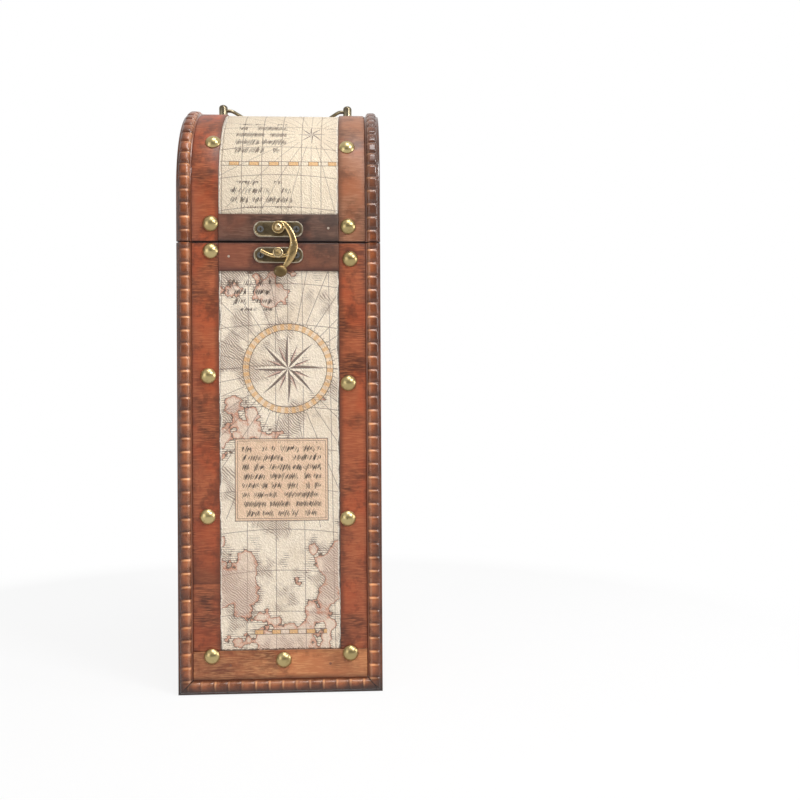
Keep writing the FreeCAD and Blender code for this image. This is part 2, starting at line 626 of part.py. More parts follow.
# Embossed trims of the lid, drawn about the axis of the dome
lid_left_edge_trim = doc.addObject("PartDesign::Body", "lid_left_edge_trim")
bind(lid_left_edge_trim, {"Placement.Base.z": spring})
inner_long = "trim_width - wrap_thick"
body_rod(lid_left_edge_trim, "Additive", "lid_trim_arch", "box_depth / 2 + trim_proud", "trim_width", trim_outer)
body_rod(lid_left_edge_trim, "Subtractive", "lid_trim_under", "box_depth / 2", inner_long, left)
body_rod(lid_left_edge_trim, "Subtractive", "lid_trim_side", "box_depth / 2 - trim_wrap", "wrap_thick", trim_outer)
front_wall_z = ("seam_relief - lid_wall_high", "0")
back_wall_z = ("back_stop - lid_wall_high", "0")
back_trim_y = (back, f"{back} + trim_proud")
back_flap_y = (f"{back} - trim_wrap", back)
body_box(lid_left_edge_trim, "Additive", "lid_trim_front", trim_x, trim_y, front_wall_z)
body_box(lid_left_edge_trim, "Additive", "lid_trim_front_flap", flap_x, flap_y, front_wall_z)
body_box(lid_left_edge_trim, "Additive", "lid_trim_back", trim_x, back_trim_y, back_wall_z)
lid_flap = body_box(lid_left_edge_trim, "Additive", "lid_trim_back_flap", flap_x, back_flap_y, back_wall_z)


def at_lid_ridge(point):
    return abs(abs(point.y) - ridge) < 0.01


round_long_edges(lid_left_edge_trim, "lid_trim_rounding", lid_flap, at_lid_ridge)
lid_groove_z = ("-groove_wide / 2 - cell_pitch", "groove_wide / 2 - cell_pitch")
wall_groove = body_box(lid_left_edge_trim, "Subtractive", "lid_wall_groove", groove_x, groove_y, lid_groove_z)
wall_count = "floor((lid_wall_high - seam_relief) / cell_pitch)"
repeat_line(lid_left_edge_trim, "lid_wall_cells", wall_groove, "Z", wall_count, True)
arch_groove_z = ("-groove_wide / 2", "groove_wide / 2")
arch_groove = body_box(lid_left_edge_trim, "Subtractive", "lid_arch_groove", groove_x, groove_y, arch_groove_z)
arch_cells = lid_left_edge_trim.newObject("PartDesign::PolarPattern", "lid_arch_cells")
arch_cells.Originals = [arch_groove]
lid_left_edge_trim.Tip = arch_cells
arch_cells.Axis = ([f for f in lid_left_edge_trim.Origin.OriginFeatures if f.Role == "X_Axis"][0], [""])
arch_cells.Angle = 180
arch_cells.Reversed = True
bind(arch_cells, {"Occurrences": "floor(180 * (box_depth / 2 + trim_proud) * 0.0174533 / cell_pitch) + 1"})
lid_right_edge_trim = mirrored("lid_right_edge_trim", lid_left_edge_trim)

# Hook: an eye on the rivet, a crescent arm, a prong and crook round the catch post, and a thumb end
hook_back = f"{plate_face} - side_play"
hook_y = (hook_front, hook_back)


def hook_disc(name, radius, x, z, thick="hook_thick"):
    return rod(name, radius, thick, (x, hook_back, z), "front")


arm_z = f"{pivot_z} - arm_drop"
arm_disc = hook_disc("hook_arm_outer", "arm_outer", "-arm_left", arm_z)
arm_hollow = hook_disc("hook_arm_inner", "arm_outer + arm_taper - arm_wide", "-arm_left - arm_taper", f"{arm_z} - arm_lean")
arm_crescent = cut("hook_arm_crescent", arm_disc, [arm_hollow])
arm_side = block("hook_arm_side", ("0", "arm_outer"), hook_y, (f"{arm_z} - arm_outer", f"{arm_z} + arm_outer"))
prong_inner = "(rivet_rise + post_drop + neck_wide / 2 + prong_gap)"
prong_middle = f"({prong_inner} + prong_wide / 2)"
prong_disc = hook_disc("hook_prong_outer", f"{prong_inner} + prong_wide", "0", pivot_z)
prong_ring = cut("hook_prong_ring", prong_disc, [hook_disc("hook_prong_inner", prong_inner, "0", pivot_z)])
tip_x = f"-{prong_middle} * sin(prong_angle * 1 deg)"
tip_z = f"{pivot_z} - {prong_middle} * cos(prong_angle * 1 deg)"
prong_x = (tip_x, "arm_outer - arm_left - arm_wide / 2")
prong_z = (f"{pivot_z} - {prong_inner} - prong_wide", f"{pivot_z} - {prong_inner} * cos(prong_angle * 1 deg)")
crook_x = ("neck_wide / 2 + prong_gap", prong_x[1])
hook_blank = joined("latch_hook_blank", [
    hook_disc("hook_eye", "eye_radius", "0", pivot_z),
    overlap("hook_arm", arm_crescent, arm_side),
    overlap("hook_prong", prong_ring, block("hook_prong_side", prong_x, hook_y, prong_z)),
    block("hook_crook", crook_x, hook_y, (f"{pivot_z} - {prong_middle}", post_z)),
    hook_disc("hook_prong_tip", "prong_wide / 2", tip_x, tip_z),
    hook_disc("hook_thumb", "thumb_radius", "thumb_right", f"{pivot_z} - thumb_drop", "thumb_thick"),
])
latch_hook = cut("latch_hook", hook_blank, [hook_disc("hook_bore", "rivet_wide / 2 + run_fit", "0", pivot_z)])

# Bail: a bow of wire drawn flat, then laid back until it rests just above the print
bail_half = f"({print_half} + lug_inset - lug_radius - bail_shoulder)"
bow_radius = f"(({bail_half}^2 + bail_reach^2) / (2 * bail_reach))"
bow_half = f"asin({bail_half} / {bow_radius})"
bow = doc.addObject("Part::Torus", "bail_bow")
bind(bow, {"Radius1": bow_radius, "Radius2": "wire_radius", "Angle3": f"2 * {bow_half}"})
place(bow, ("0", f"bail_reach - {bow_radius}", "0"))
bow.Placement.Rotation = FreeCAD.Rotation(FreeCAD.Vector(0, 0, 1), 45)
bind(bow, {"Placement.Rotation.Angle": f"90 deg - {bow_half}"})
end_x = f"{lug_x} - lug_radius - side_play"
bail_corner = doc.addObject("Part::Sphere", "bail_corner")
bind(bail_corner, {"Radius": "wire_radius"})
place(bail_corner, (f"-{bail_half}", "0", "0"))
left_end = joined("bail_left_end", [
    bail_corner,
    rod("bail_axle", "wire_radius", f"-{bail_half} - ({end_x})", (end_x, "0", "0"), "right"),
    rod("bail_rivet_end", "rivet_end_radius", "rivet_end_long", (f"{end_x} - rivet_end_long", "0", "0"), "right"),
])
bail_handle = joined("bail_handle", [bow, left_end, mirrored("bail_right_end", left_end)])
axis_high = "(box_depth / 2 + strip_thick + lug_eye_high)"
rest_radius = "(box_depth / 2 + print_thick + wire_radius + bail_rest_gap)"
place(bail_handle, ("0", "0", eye_z), "front")
bail_dip = f"asin(({axis_high}^2 + bail_reach^2 - {rest_radius}^2) / (2 * {axis_high} * bail_reach))"
bind(bail_handle, {"Placement.Rotation.Angle": f"-{bail_dip}"})

doc.recompute()

# Check every object and write one file per piece
NODES = (
    bottom_board, front_board, back_board, left_side_board, right_side_board,
    front_print_panel, front_left_stile, front_right_stile, front_top_rail, front_bottom_rail,
    left_edge_trim, right_edge_trim, bottom_edge_trim, front_nails, front_brads,
    catch_plate, catch_screws, catch_post,
    left_hinge_body_leaf, right_hinge_body_leaf, left_hinge_pin, right_hinge_pin, hinge_body_screws,
    lid_front_board, lid_back_board, lid_left_cheek, lid_right_cheek, lid_dome_sheet,
    lid_print_panel, lid_left_strip, lid_right_strip, lid_front_rail,
    lid_left_edge_trim, lid_right_edge_trim, lid_nails, lid_brads,
    latch_plate, latch_screws, latch_rivet,
    left_hinge_lid_leaf, right_hinge_lid_leaf, hinge_lid_screws,
    left_handle_post, right_handle_post, handle_post_nuts,
    latch_hook, bail_handle,
)

for piece in doc.Objects:
    if "Invalid" in piece.State or "Error" in piece.State:
        raise RuntimeError(f"{piece.Label} did not build: {piece.State}")

os.makedirs("parts", exist_ok=True)
for piece in NODES:
    if piece.Shape.isNull() or not piece.Shape.isValid():
        raise RuntimeError(f"{piece.Label} has no valid shape")
    piece.Shape.exportStep(f"parts/{piece.Label}.step")
    box = piece.Shape.BoundBox
    print(f"{piece.Label}: {len(piece.Shape.Solids)} solids, {piece.Shape.Volume:.1f} mm3,",
          f"x {box.XMin:.1f} {box.XMax:.1f} y {box.YMin:.1f} {box.YMax:.1f} z {box.ZMin:.1f} {box.ZMax:.1f}")
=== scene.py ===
import math

import bpy
from mathutils import Euler, Matrix, Vector


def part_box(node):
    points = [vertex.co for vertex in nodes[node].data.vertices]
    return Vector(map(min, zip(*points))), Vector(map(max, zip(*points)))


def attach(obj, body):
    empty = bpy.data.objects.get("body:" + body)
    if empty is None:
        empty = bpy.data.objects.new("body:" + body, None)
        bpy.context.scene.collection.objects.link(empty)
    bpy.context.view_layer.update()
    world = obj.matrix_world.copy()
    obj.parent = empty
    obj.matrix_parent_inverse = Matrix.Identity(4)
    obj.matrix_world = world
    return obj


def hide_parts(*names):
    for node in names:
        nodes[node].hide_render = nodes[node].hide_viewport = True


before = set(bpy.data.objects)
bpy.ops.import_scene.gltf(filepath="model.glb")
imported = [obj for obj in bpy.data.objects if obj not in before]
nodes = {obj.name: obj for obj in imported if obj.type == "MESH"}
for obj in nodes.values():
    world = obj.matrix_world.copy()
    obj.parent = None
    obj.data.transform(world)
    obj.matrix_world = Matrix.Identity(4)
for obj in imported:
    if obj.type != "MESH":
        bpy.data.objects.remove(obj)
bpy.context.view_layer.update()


# Boards of the box
# Five thin plywood boards, glued edge to edge: front and back are full width, the sides stand
# between them and the bottom lies inside. All are stained brown and lacquered; inside they are
# nearly black, a painted shade.
class Field:
    """A value that varies over a surface. Adding or multiplying fields adds Math nodes."""

    def __init__(self, finish, socket):
        self.finish = finish
        self.socket = socket

    def __add__(self, other):
        return self.finish.math("ADD", self, other)

    def __sub__(self, other):
        return self.finish.math("SUBTRACT", self, other)

    def __rsub__(self, other):
        return self.finish.math("SUBTRACT", other, self)

    def __mul__(self, other):
        return self.finish.math("MULTIPLY", self, other)

    def __truediv__(self, other):
        return self.finish.math("DIVIDE", self, other)

    __radd__ = __add__
    __rmul__ = __mul__


class Finish:
    """A material that is put together node by node round one Principled shader."""

    def __init__(self, name):
        self.material = bpy.data.materials.new(name)
        self.material.use_nodes = True
        self.tree = self.material.node_tree
        self.shader = self.tree.nodes["Principled BSDF"]

    def feed(self, socket, value):
        if isinstance(value, Field):
            self.tree.links.new(value.socket, socket)
        elif socket.type == "RGBA":
            socket.default_value = (*value, 1)
        else:
            socket.default_value = value

    def node(self, kind, inputs, output=0, **settings):
        """Add a node, give its inputs fields or plain values, and return one of its outputs."""
        made = self.tree.nodes.new(kind)
        for key, value in settings.items():
            setattr(made, key, value)
        for key, value in inputs.items():
            self.feed(made.inputs[key], value)
        return Field(self, made.outputs[output])

    def shade(self, inputs):
        for key, value in inputs.items():
            self.feed(self.shader.inputs[key], value)
        return self.material

    def place(self):
        return self.node("ShaderNodeTexCoord", {}, "Object")

    def unwrapped(self):
        return self.node("ShaderNodeUVMap", {}, uv_map="laid_flat")

    def split(self, vector):
        parts = self.node("ShaderNodeSeparateXYZ", {0: vector}).socket.node
        return [Field(self, socket) for socket in parts.outputs]

    def vector(self, x, y, z):
        return self.node("ShaderNodeCombineXYZ", {0: x, 1: y, 2: z})

    def stretch(self, where, scale):
        return self.node("ShaderNodeMapping", {"Vector": where, "Scale": scale})

    def noise(self, where, scale, detail=3.0, roughness=0.55):
        inputs = {"Vector": where, "Scale": scale, "Detail": detail, "Roughness": roughness}
        return self.node("ShaderNodeTexNoise", inputs, "Fac")

    def math(self, operation, first, second=0.0):
        return self.node("ShaderNodeMath", {0: first, 1: second}, operation=operation)

    def size(self, value):
        return self.math("ABSOLUTE", value)

    def rise(self, value, low, high):
        """0 up to `low`, 1 from `high` on, and a smooth step between; falls where low is above high."""
        inputs = {0: value, 1: low, 2: high}
        return self.node("ShaderNodeMapRange", inputs, interpolation_type="SMOOTHSTEP")

    def mix(self, share, first, second):
        return self.node("ShaderNodeMix", {0: share, 6: first, 7: second}, 2, data_type="RGBA")

    def bump(self, height, depth, strength=1.0):
        return self.node("ShaderNodeBump", {"Height": height, "Distance": depth, "Strength": strength})


def paint(red, green, blue):
    """A colour given as 0 to 255 in sRGB, in the linear values that shaders take."""
    def linear(level):
        share = level / 255
        return share / 12.92 if share <= 0.04045 else ((share + 0.055) / 1.055) ** 2.4
    return linear(red), linear(green), linear(blue)


class Wood(Finish):
    """Stained, lacquered wood. `grain` squeezes the pattern along the fibres, and noise scales are in
    features per metre."""

    def __init__(self, name, grain):
        super().__init__(name)
        self.where = self.place()
        along = self.stretch(self.where, grain)
        self.fibre = self.noise(along, 1700, 3)
        self.band = self.noise(along, 330, 4)
        self.pores = self.rise(self.noise(along, 2900, 2), 0.60, 0.72)
        self.blotch = self.noise(self.where, 46, 4)
        self.smudge = self.noise(self.where, 75, 5, 0.72)

    def stain(self, dark, middle, light, warm, smudged=0.7):
        """Darker and lighter grain, warm patches, and smudges where the stain lay thick."""
        tone = self.mix(self.rise(self.band * 0.15 + self.blotch * 0.85, 0.36, 0.60), dark, middle)
        tone = self.mix(self.rise(self.fibre, 0.42, 0.68) * 0.6, tone, light)
        tone = self.mix(self.rise(self.noise(self.where, 38, 3), 0.47, 0.62) * 0.55, tone, warm)
        tone = self.mix(self.rise(self.smudge, 0.48, 0.68) * smudged, tone, dark)
        return self.mix(self.pores * 0.2, tone, dark)

    def lacquer(self, tone, roughness):
        return self.shade({
            "Base Color": tone,
            "Roughness": self.blotch * 0.24 + (roughness - 0.12),
            "Specular IOR Level": 0.4,
            "Normal": self.bump(self.fibre * 0.5 + self.band, 0.0002, 0.6),
        })


GRAIN_ALONG_X = (0.1, 1, 1)
GRAIN_ALONG_Z = (1, 1, 0.025)
RING_STRETCH = (1, 1, 0.1)
RING_COUNT = 30.0
# Insides: a stain darkened to nearly black, painted shade for the inside of the box.
INSIDE_SHADE = paint(44, 24, 18), paint(68, 38, 28), paint(88, 52, 38), paint(76, 38, 26)
# Painted shade in the seam between box and lid.
SEAM_SHADE = paint(26, 15, 12)
SEAM_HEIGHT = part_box("front_board")[1].z
OUTER_SKIN = 0.0562


def seam_line(wood, tone, height):
    """Painted shade: a dark line along the seam between box and lid."""
    seam = wood.rise(wood.size(height - SEAM_HEIGHT), 0.0011, 0.0004)
    return wood.mix(seam * 0.9, tone, SEAM_SHADE)


def board_wood(name, outside_stain):
    """Brown with growth rings outside; nearly black inside, painted shade; and a line of painted shade
    along the seam.
    """
    wood = Wood(name, GRAIN_ALONG_Z)
    side, depth, height = wood.split(wood.where)
    reach = wood.math("MAXIMUM", wood.size(side), wood.size(depth))
    within = wood.rise(reach, OUTER_SKIN, OUTER_SKIN - 0.0006)
    figure = wood.noise(wood.stretch(wood.where, RING_STRETCH), 16, 1)
    ring = wood.math("FRACT", figure * RING_COUNT)
    late_wood = wood.rise(ring, 0.4, 0.92) * wood.rise(ring, 1.0, 0.96)
    late_wood = late_wood * wood.rise(wood.fibre, 0.3, 0.6)
    outside = wood.mix(late_wood * 0.5, wood.stain(*outside_stain, smudged=0.3), outside_stain[0])
    tone = wood.mix(within, outside, wood.stain(*INSIDE_SHADE))
    return wood.lacquer(seam_line(wood, tone, height), 0.34)


SIDE_STAIN = paint(108, 61, 42), paint(138, 84, 59), paint(154, 99, 72), paint(146, 80, 52)
side_wood = board_wood("side_board_wood", SIDE_STAIN)
# Inside boards: nearly black, painted shade for the inside of the box.
inner = Wood("inner_board_wood", GRAIN_ALONG_Z)
inner_wood = inner.lacquer(inner.stain(*INSIDE_SHADE), 0.5)


def dress(names, material):
    """Give CAD nodes a finish; their shape stays as it is."""
    for name in names:
        nodes[name].data.materials.clear()
        nodes[name].data.materials.append(material)


dress(("left_side_board", "right_side_board", "back_board"), side_wood)
dress(("front_board", "bottom_board"), inner_wood)


# Printed panel on the front
# A sheet of cream leatherette glued to the front board, printed with a generic old sea chart:
# graticule, compass rose, coastlines, rows of pen strokes and a scale bar. Its cut edges are uneven.
def choose(*pieces):
    """Select these pieces alone, the first of them active; with none, deselect everything."""
    bpy.ops.object.select_all(action="DESELECT")
    for piece in pieces:
        piece.select_set(True)
    if pieces:
        bpy.context.view_layer.objects.active = pieces[0]


def settled(name):
    """The primitive that was just added, named, with its place in its mesh."""
    piece = bpy.context.object
    piece.name = name
    piece.data.name = name
    bpy.ops.object.transform_apply(location=True, rotation=True, scale=True)
    return piece


def block(name, low, high):
    """A box between two corners."""
    choose()
    middle = [(a + b) / 2 for a, b in zip(low, high)]
    bpy.ops.mesh.primitive_cube_add(size=1, calc_uvs=False, location=middle)
    bpy.context.object.scale = [b - a for a, b in zip(low, high)]
    return settled(name)


def pick(piece, kind, test):
    """Select vertices, edges or faces by a test on them, and go into edit mode."""
    kinds = ("vertices", "edges", "polygons")
    bpy.context.tool_settings.mesh_select_mode = [kind == one for one in kinds]
    for one in kinds:
        parts = getattr(piece.data, one)
        parts.foreach_set("select", [False] * len(parts))
    for part in getattr(piece.data, kind):
        part.select = bool(test(part))
    bpy.ops.object.mode_set(mode="EDIT")


def leave_edit():
    bpy.ops.object.mode_set(mode="OBJECT")


def edge_runs(piece, axis):
    """A test for edges that run along one axis."""
    def runs(edge):
        one, other = (piece.data.vertices[corner].co for corner in edge.vertices)
        lengthwise = abs(one[axis] - other[axis])
        return lengthwise > 0.99 * (one - other).length
    return runs


def divide(piece, axis, cuts):
    """Cut a piece across one axis, at even steps."""
    pick(piece, "edges", edge_runs(piece, axis))
    bpy.ops.mesh.subdivide(number_cuts=cuts)
    leave_edit()


def apply_all(piece):
    """Apply a piece's modifiers, in their order."""
    bpy.context.view_layer.objects.active = piece
    for modifier in list(piece.modifiers):
        bpy.ops.object.modifier_apply(modifier=modifier.name)


def soften(piece, width, segments=3):
    """Round the sharp edges and shade the rest smooth."""
    bevel = piece.modifiers.new("Soft edges", "BEVEL")
    bevel.width = width
    bevel.segments = segments
    apply_all(piece)
    choose(piece)
    bpy.ops.object.shade_smooth_by_angle(angle=math.radians(40))


def fit(piece, material, body, slot, *replaced):
    """Give a new piece its finish, its body and the CAD nodes that it stands for."""
    piece.data.materials.clear()
    piece.data.materials.append(material)
    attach(piece, body)
    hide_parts(*replaced)


CREAM = paint(240, 227, 207)
CREAM_STAIN = paint(220, 202, 178)
INK = paint(54, 41, 36)
INK_SOFT = paint(102, 86, 79)
OCHRE = paint(222, 172, 112)
CORAL = paint(196, 122, 90)
ROSE_PINK = paint(206, 168, 152)
PANEL_TINT = paint(230, 194, 162)
ENGRAVED_SHADE = paint(170, 146, 132)
BARE_EDGE = paint(250, 244, 232)
EDGE_DARK = paint(62, 40, 31)
PEBBLE_SHADE = paint(176, 152, 126)
FULL_TURN = 2 * math.pi


class Chart(Finish):
    """Printed leatherette. Drawing coordinates are millimetres across and along the sheet."""

    def __init__(self, name, paper, across, along):
        super().__init__(name)
        self.across = across(self)
        self.along = along(self)
        self.flat = self.vector(self.across, self.along, 0.0)
        stain = self.noise(self.flat, 0.035, 4)
        self.colour = self.mix(self.rise(stain, 0.42, 0.72) * 0.7, paper, CREAM_STAIN)

    def ink(self, cover, colour):
        self.colour = self.mix(cover, self.colour, colour)

    def line(self, distance, wide):
        """Cover of a line, from the distance to its middle."""
        return self.rise(self.size(distance), wide * 0.5 + 0.14, wide * 0.5 - 0.06)

    def wave(self, value, pitch):
        """Distance to the nearest of many marks that are `pitch` apart."""
        share = self.math("FRACT", value / pitch)
        return (self.size(share - 0.5) * -1 + 0.5) * pitch

    def window(self, value, low, high, soft=0.1):
        return self.rise(value, low - soft, low + soft) * self.rise(value, high + soft, high - soft)

    def polar(self, middle_across, middle_along):
        sideways = self.across - middle_across
        upward = self.along - middle_along
        radius = self.math("SQRT", sideways * sideways + upward * upward)
        return radius, self.math("ARCTAN2", upward, sideways)

    def graticule(self, across_pitch, along_pitch, bow):
        """Thin grid lines; the upright ones bow a little, as on an old projection."""
        bowed = self.across + self.along * self.across * bow
        self.ink(self.line(self.wave(bowed + 300.0, across_pitch), 0.36) * 0.7, INK_SOFT)
        dipped = self.along + self.across * self.across * 0.0022
        self.ink(self.line(self.wave(dipped, along_pitch), 0.36) * 0.7, INK_SOFT)

    def engraving(self, seed, low, high):
        """Patches of slanting engraved strokes, like cloud or shade on an old plate."""
        shade = self.noise(self.vector(self.across, self.along, seed), 0.05, 3)
        strokes = self.across * 0.7 + self.along * 0.8 + self.noise(self.flat, 0.09, 2) * 6.0
        patch = self.rise(shade, low, high)
        self.ink(self.line(self.wave(strokes, 1.25), 0.46) * patch * 0.85, INK_SOFT)
        self.ink(patch * 0.25, ENGRAVED_SHADE)

    def rays(self, radius, angle, count, inner, outer, strength):
        """Thin lines that run out evenly from a rose."""
        near = self.wave(angle, FULL_TURN / count) * radius
        reach = self.window(radius, inner, outer)
        self.ink(self.line(near, 0.3) * reach * strength, INK_SOFT)

    def graduated_ring(self, radius, angle, inner, outer, count):
        """A band with alternate filled lengths, between two rules, with short ticks outside."""
        band = self.window(radius, inner, outer)
        turn = self.math("FRACT", angle * (count / FULL_TURN))
        self.ink(band * 0.35, OCHRE)
        self.ink(band * self.rise(turn, 0.47, 0.53) * 0.75, OCHRE)
        for rule in (inner, outer):
            self.ink(self.line(radius - rule, 0.34) * 0.8, INK)
        tick = self.line(self.wave(angle, FULL_TURN / (count * 2)) * radius, 0.28)
        self.ink(tick * self.window(radius, outer, outer + 1.3) * 0.8, INK)

    def star(self, radius, angle, points, inner, outer, light, dark):
        """A compass star: each point has a light and a dark half."""
        turn = self.math("FRACT", angle * (points / FULL_TURN) + 0.5)
        off = self.size(turn - 0.5) * 2
        slim = (1 - off) * (1 - off)
        edge = slim * (1 - off * 0.4) * (outer - inner) + inner
        body = self.rise(radius - edge, 0.12, -0.12)
        self.ink(body, light)
        self.ink(body * self.rise(turn, 0.48, 0.52), dark)
        self.ink(self.line(radius - edge, 0.26) * self.rise(radius, 0.6, 1.2) * 0.8, INK)

    def notes(self, low, high, left, right, row_pitch, strength):
        """A note without letters: rows of slanting pen strokes of uneven height, in broken runs."""
        row = self.math("FLOOR", self.along / row_pitch)
        level = self.math("FRACT", self.along / row_pitch) - 0.5
        slanted = self.across - level * (row_pitch * 0.4)
        run = self.noise(self.vector(self.across * 0.2, row * 7.3, 2.0), 1.0, 0)
        strokes = self.noise(self.vector(slanted * 2.3, row * 3.1, 5.0), 1.0, 1)
        lift = self.noise(self.vector(slanted * 0.9, row * 2.9, 13.0), 1.0, 1) * 0.5 - 0.25
        tall = self.noise(self.vector(slanted * 1.6, row * 5.7, 9.0), 1.0, 1) * 0.9 - 0.22
        reach = self.rise(self.size(level + lift) - tall, 0.04, -0.04)
        area = self.window(self.along, low, high) * self.window(self.across, left, right)
        runs = self.rise(run, 0.40, 0.43) * area * reach
        self.ink(self.rise(strokes, 0.42, 0.52) * runs * strength, INK)

    def note_panel(self, middle_across, middle_along, half_wide, half_high):
        """A tinted panel with a double rule round it."""
        beside = self.size(self.across - middle_across) - half_wide
        above = self.size(self.along - middle_along) - half_high
        beyond = self.math("MAXIMUM", beside, above)
        self.ink(self.rise(beyond, 0.1, -0.1) * 0.85, PANEL_TINT)
        for rule, thick in ((0.0, 0.5), (-1.3, 0.25)):
            self.ink(self.line(beyond - rule, thick) * 0.75, INK)

    def coast(self, seed, level, bias):
        """Land where a slow noise is high: a narrow coral shore, and hatched sea in front of it."""
        land = self.noise(self.vector(self.across, self.along, seed), 0.042, 5, 0.5) + bias
        inland = self.rise(land, level - 0.004, level + 0.004)
        self.ink(inland * 0.35, ROSE_PINK)
        self.ink(inland * self.rise(land, level + 0.04, level) * 0.8, CORAL)
        shelf = self.rise(land, level - 0.06, level - 0.012) * self.rise(land, level, level - 0.006)
        self.ink(self.line(self.wave(self.along, 1.3), 0.32) * shelf * 0.85, INK_SOFT)
        self.ink(self.rise(self.size(land - level), 0.006, 0.003) * 0.85, INK)

    def scale_bar(self, middle, left, right, segment, half_high=1.3):
        """A bar of alternate filled lengths between two rules."""
        reach = self.window(self.across, left, right)
        inside = self.window(self.along, middle - half_high, middle + half_high) * reach
        share = self.math("FRACT", self.across / (segment * 2))
        self.ink(inside * self.rise(share, 0.48, 0.52) * 0.9, OCHRE)
        for rule in (-half_high, half_high):
            self.ink(self.line(self.along - (middle + rule), 0.3) * reach * 0.85, INK)
        tick = self.line(self.wave(self.across, segment), 0.3)
        self.ink(tick * inside * 0.8, INK)

    def finished(self, half_wide, foot, edge_dark_share):
        """Worn, pale cut edges, darker just beyond them and in uneven marks along the foot, and the
        pebbled grain of the leatherette.
        """
        waver = self.noise(self.flat, 0.07, 2) * 4.0 - 2.0
        rim = self.size(self.across) + waver + self.noise(self.flat, 1.1, 4) * 1.3
        self.ink(self.rise(rim, half_wide - 0.6, half_wide - 0.3) * 0.6, BARE_EDGE)
        self.ink(self.rise(rim, half_wide, half_wide + 0.3) * edge_dark_share, EDGE_DARK)
        scorched = self.along - foot - self.noise(self.flat, 0.6, 4, 0.7) * 5.0 + 1.0
        self.ink(self.rise(scorched, -0.5, -1.1) * edge_dark_share, EDGE_DARK)
        lean_across = self.across * 0.8 + self.along * 0.6
        lean_along = self.along * 0.8 - self.across * 0.6
        pebble_at = self.stretch(self.vector(lean_across, lean_along, 0.0), (1.2, 0.85, 1))
        pebbles = self.node("ShaderNodeTexVoronoi", {"Vector": pebble_at, "Scale": 1.0}, "Distance")
        grain = self.rise(pebbles, 0.2, 0.7)
        # The hollows between pebbles are darker: painted shade, with the bump.
        self.ink(grain * 0.24, PEBBLE_SHADE)
        return self.shade({
            "Base Color": self.colour,
            "Roughness": grain * 0.2 + 0.44,
            "Normal": self.bump(grain * -1, 0.0003, 0.9),
        })


def object_mm(axis):
    """Millimetres along one axis of the object."""
    return lambda finish: finish.split(finish.place())[axis] * 1000.0


def unwrapped_mm(axis):
    """Millimetres along one axis of the piece's own unwrapped sheet."""
    return lambda finish: finish.split(finish.unwrapped())[axis] * 1000.0


PRINT_HALF_WIDE = 35.0
ROSE_MIDDLE = (5.0, 190.0)
NOTE_ROW = 5.4
front_chart = Chart("front_chart", CREAM, object_mm(0), object_mm(2))
front_chart.engraving(seed=4.0, low=0.48, high=0.60)
front_chart.graticule(across_pitch=17.5, along_pitch=24.0, bow=0.0005)
more_land_below = front_chart.rise(front_chart.along, 118, 70) * 0.09 - 0.06
front_chart.coast(seed=11.0, level=0.56, bias=more_land_below)
rose_radius, rose_angle = front_chart.polar(*ROSE_MIDDLE)
front_chart.rays(rose_radius, rose_angle, count=32, inner=27.5, outer=95.0, strength=0.75)
front_chart.graduated_ring(rose_radius, rose_angle, inner=22.6, outer=26.4, count=36)
front_chart.star(rose_radius, rose_angle, 16, inner=5.0, outer=14.5, light=ROSE_PINK, dark=INK_SOFT)
front_chart.star(rose_radius, rose_angle, 8, inner=4.2, outer=20.5, light=CREAM, dark=INK_SOFT)
front_chart.notes(low=224, high=243, left=-30, right=-4, row_pitch=NOTE_ROW, strength=1.0)
front_chart.note_panel(middle_across=1.0, middle_along=125.0, half_wide=27.0, half_high=24.0)
front_chart.notes(low=103, high=147, left=-22, right=24, row_pitch=NOTE_ROW, strength=1.0)
front_chart.scale_bar(middle=36.0, left=-18.0, right=27.0, segment=5.0)
print_low, print_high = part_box("front_print_panel")
chart_print = front_chart.finished(PRINT_HALF_WIDE, foot=print_low.z * 1000, edge_dark_share=0.85)
front_print = block("front_print", print_low, print_high)
CUTS_ACROSS = 35
CUTS_ALONG = 110
CUT_WAVER = 0.0002
divide(front_print, 0, CUTS_ACROSS)
divide(front_print, 2, CUTS_ALONG)
pick(front_print, "vertices", lambda corner: abs(corner.co.x) > print_high.x - 0.0001)
bpy.ops.transform.vertex_random(offset=CUT_WAVER, uniform=1.0, normal=0.0, seed=3)
leave_edit()
fit(front_print, chart_print, "box", "print", "front_print_panel")


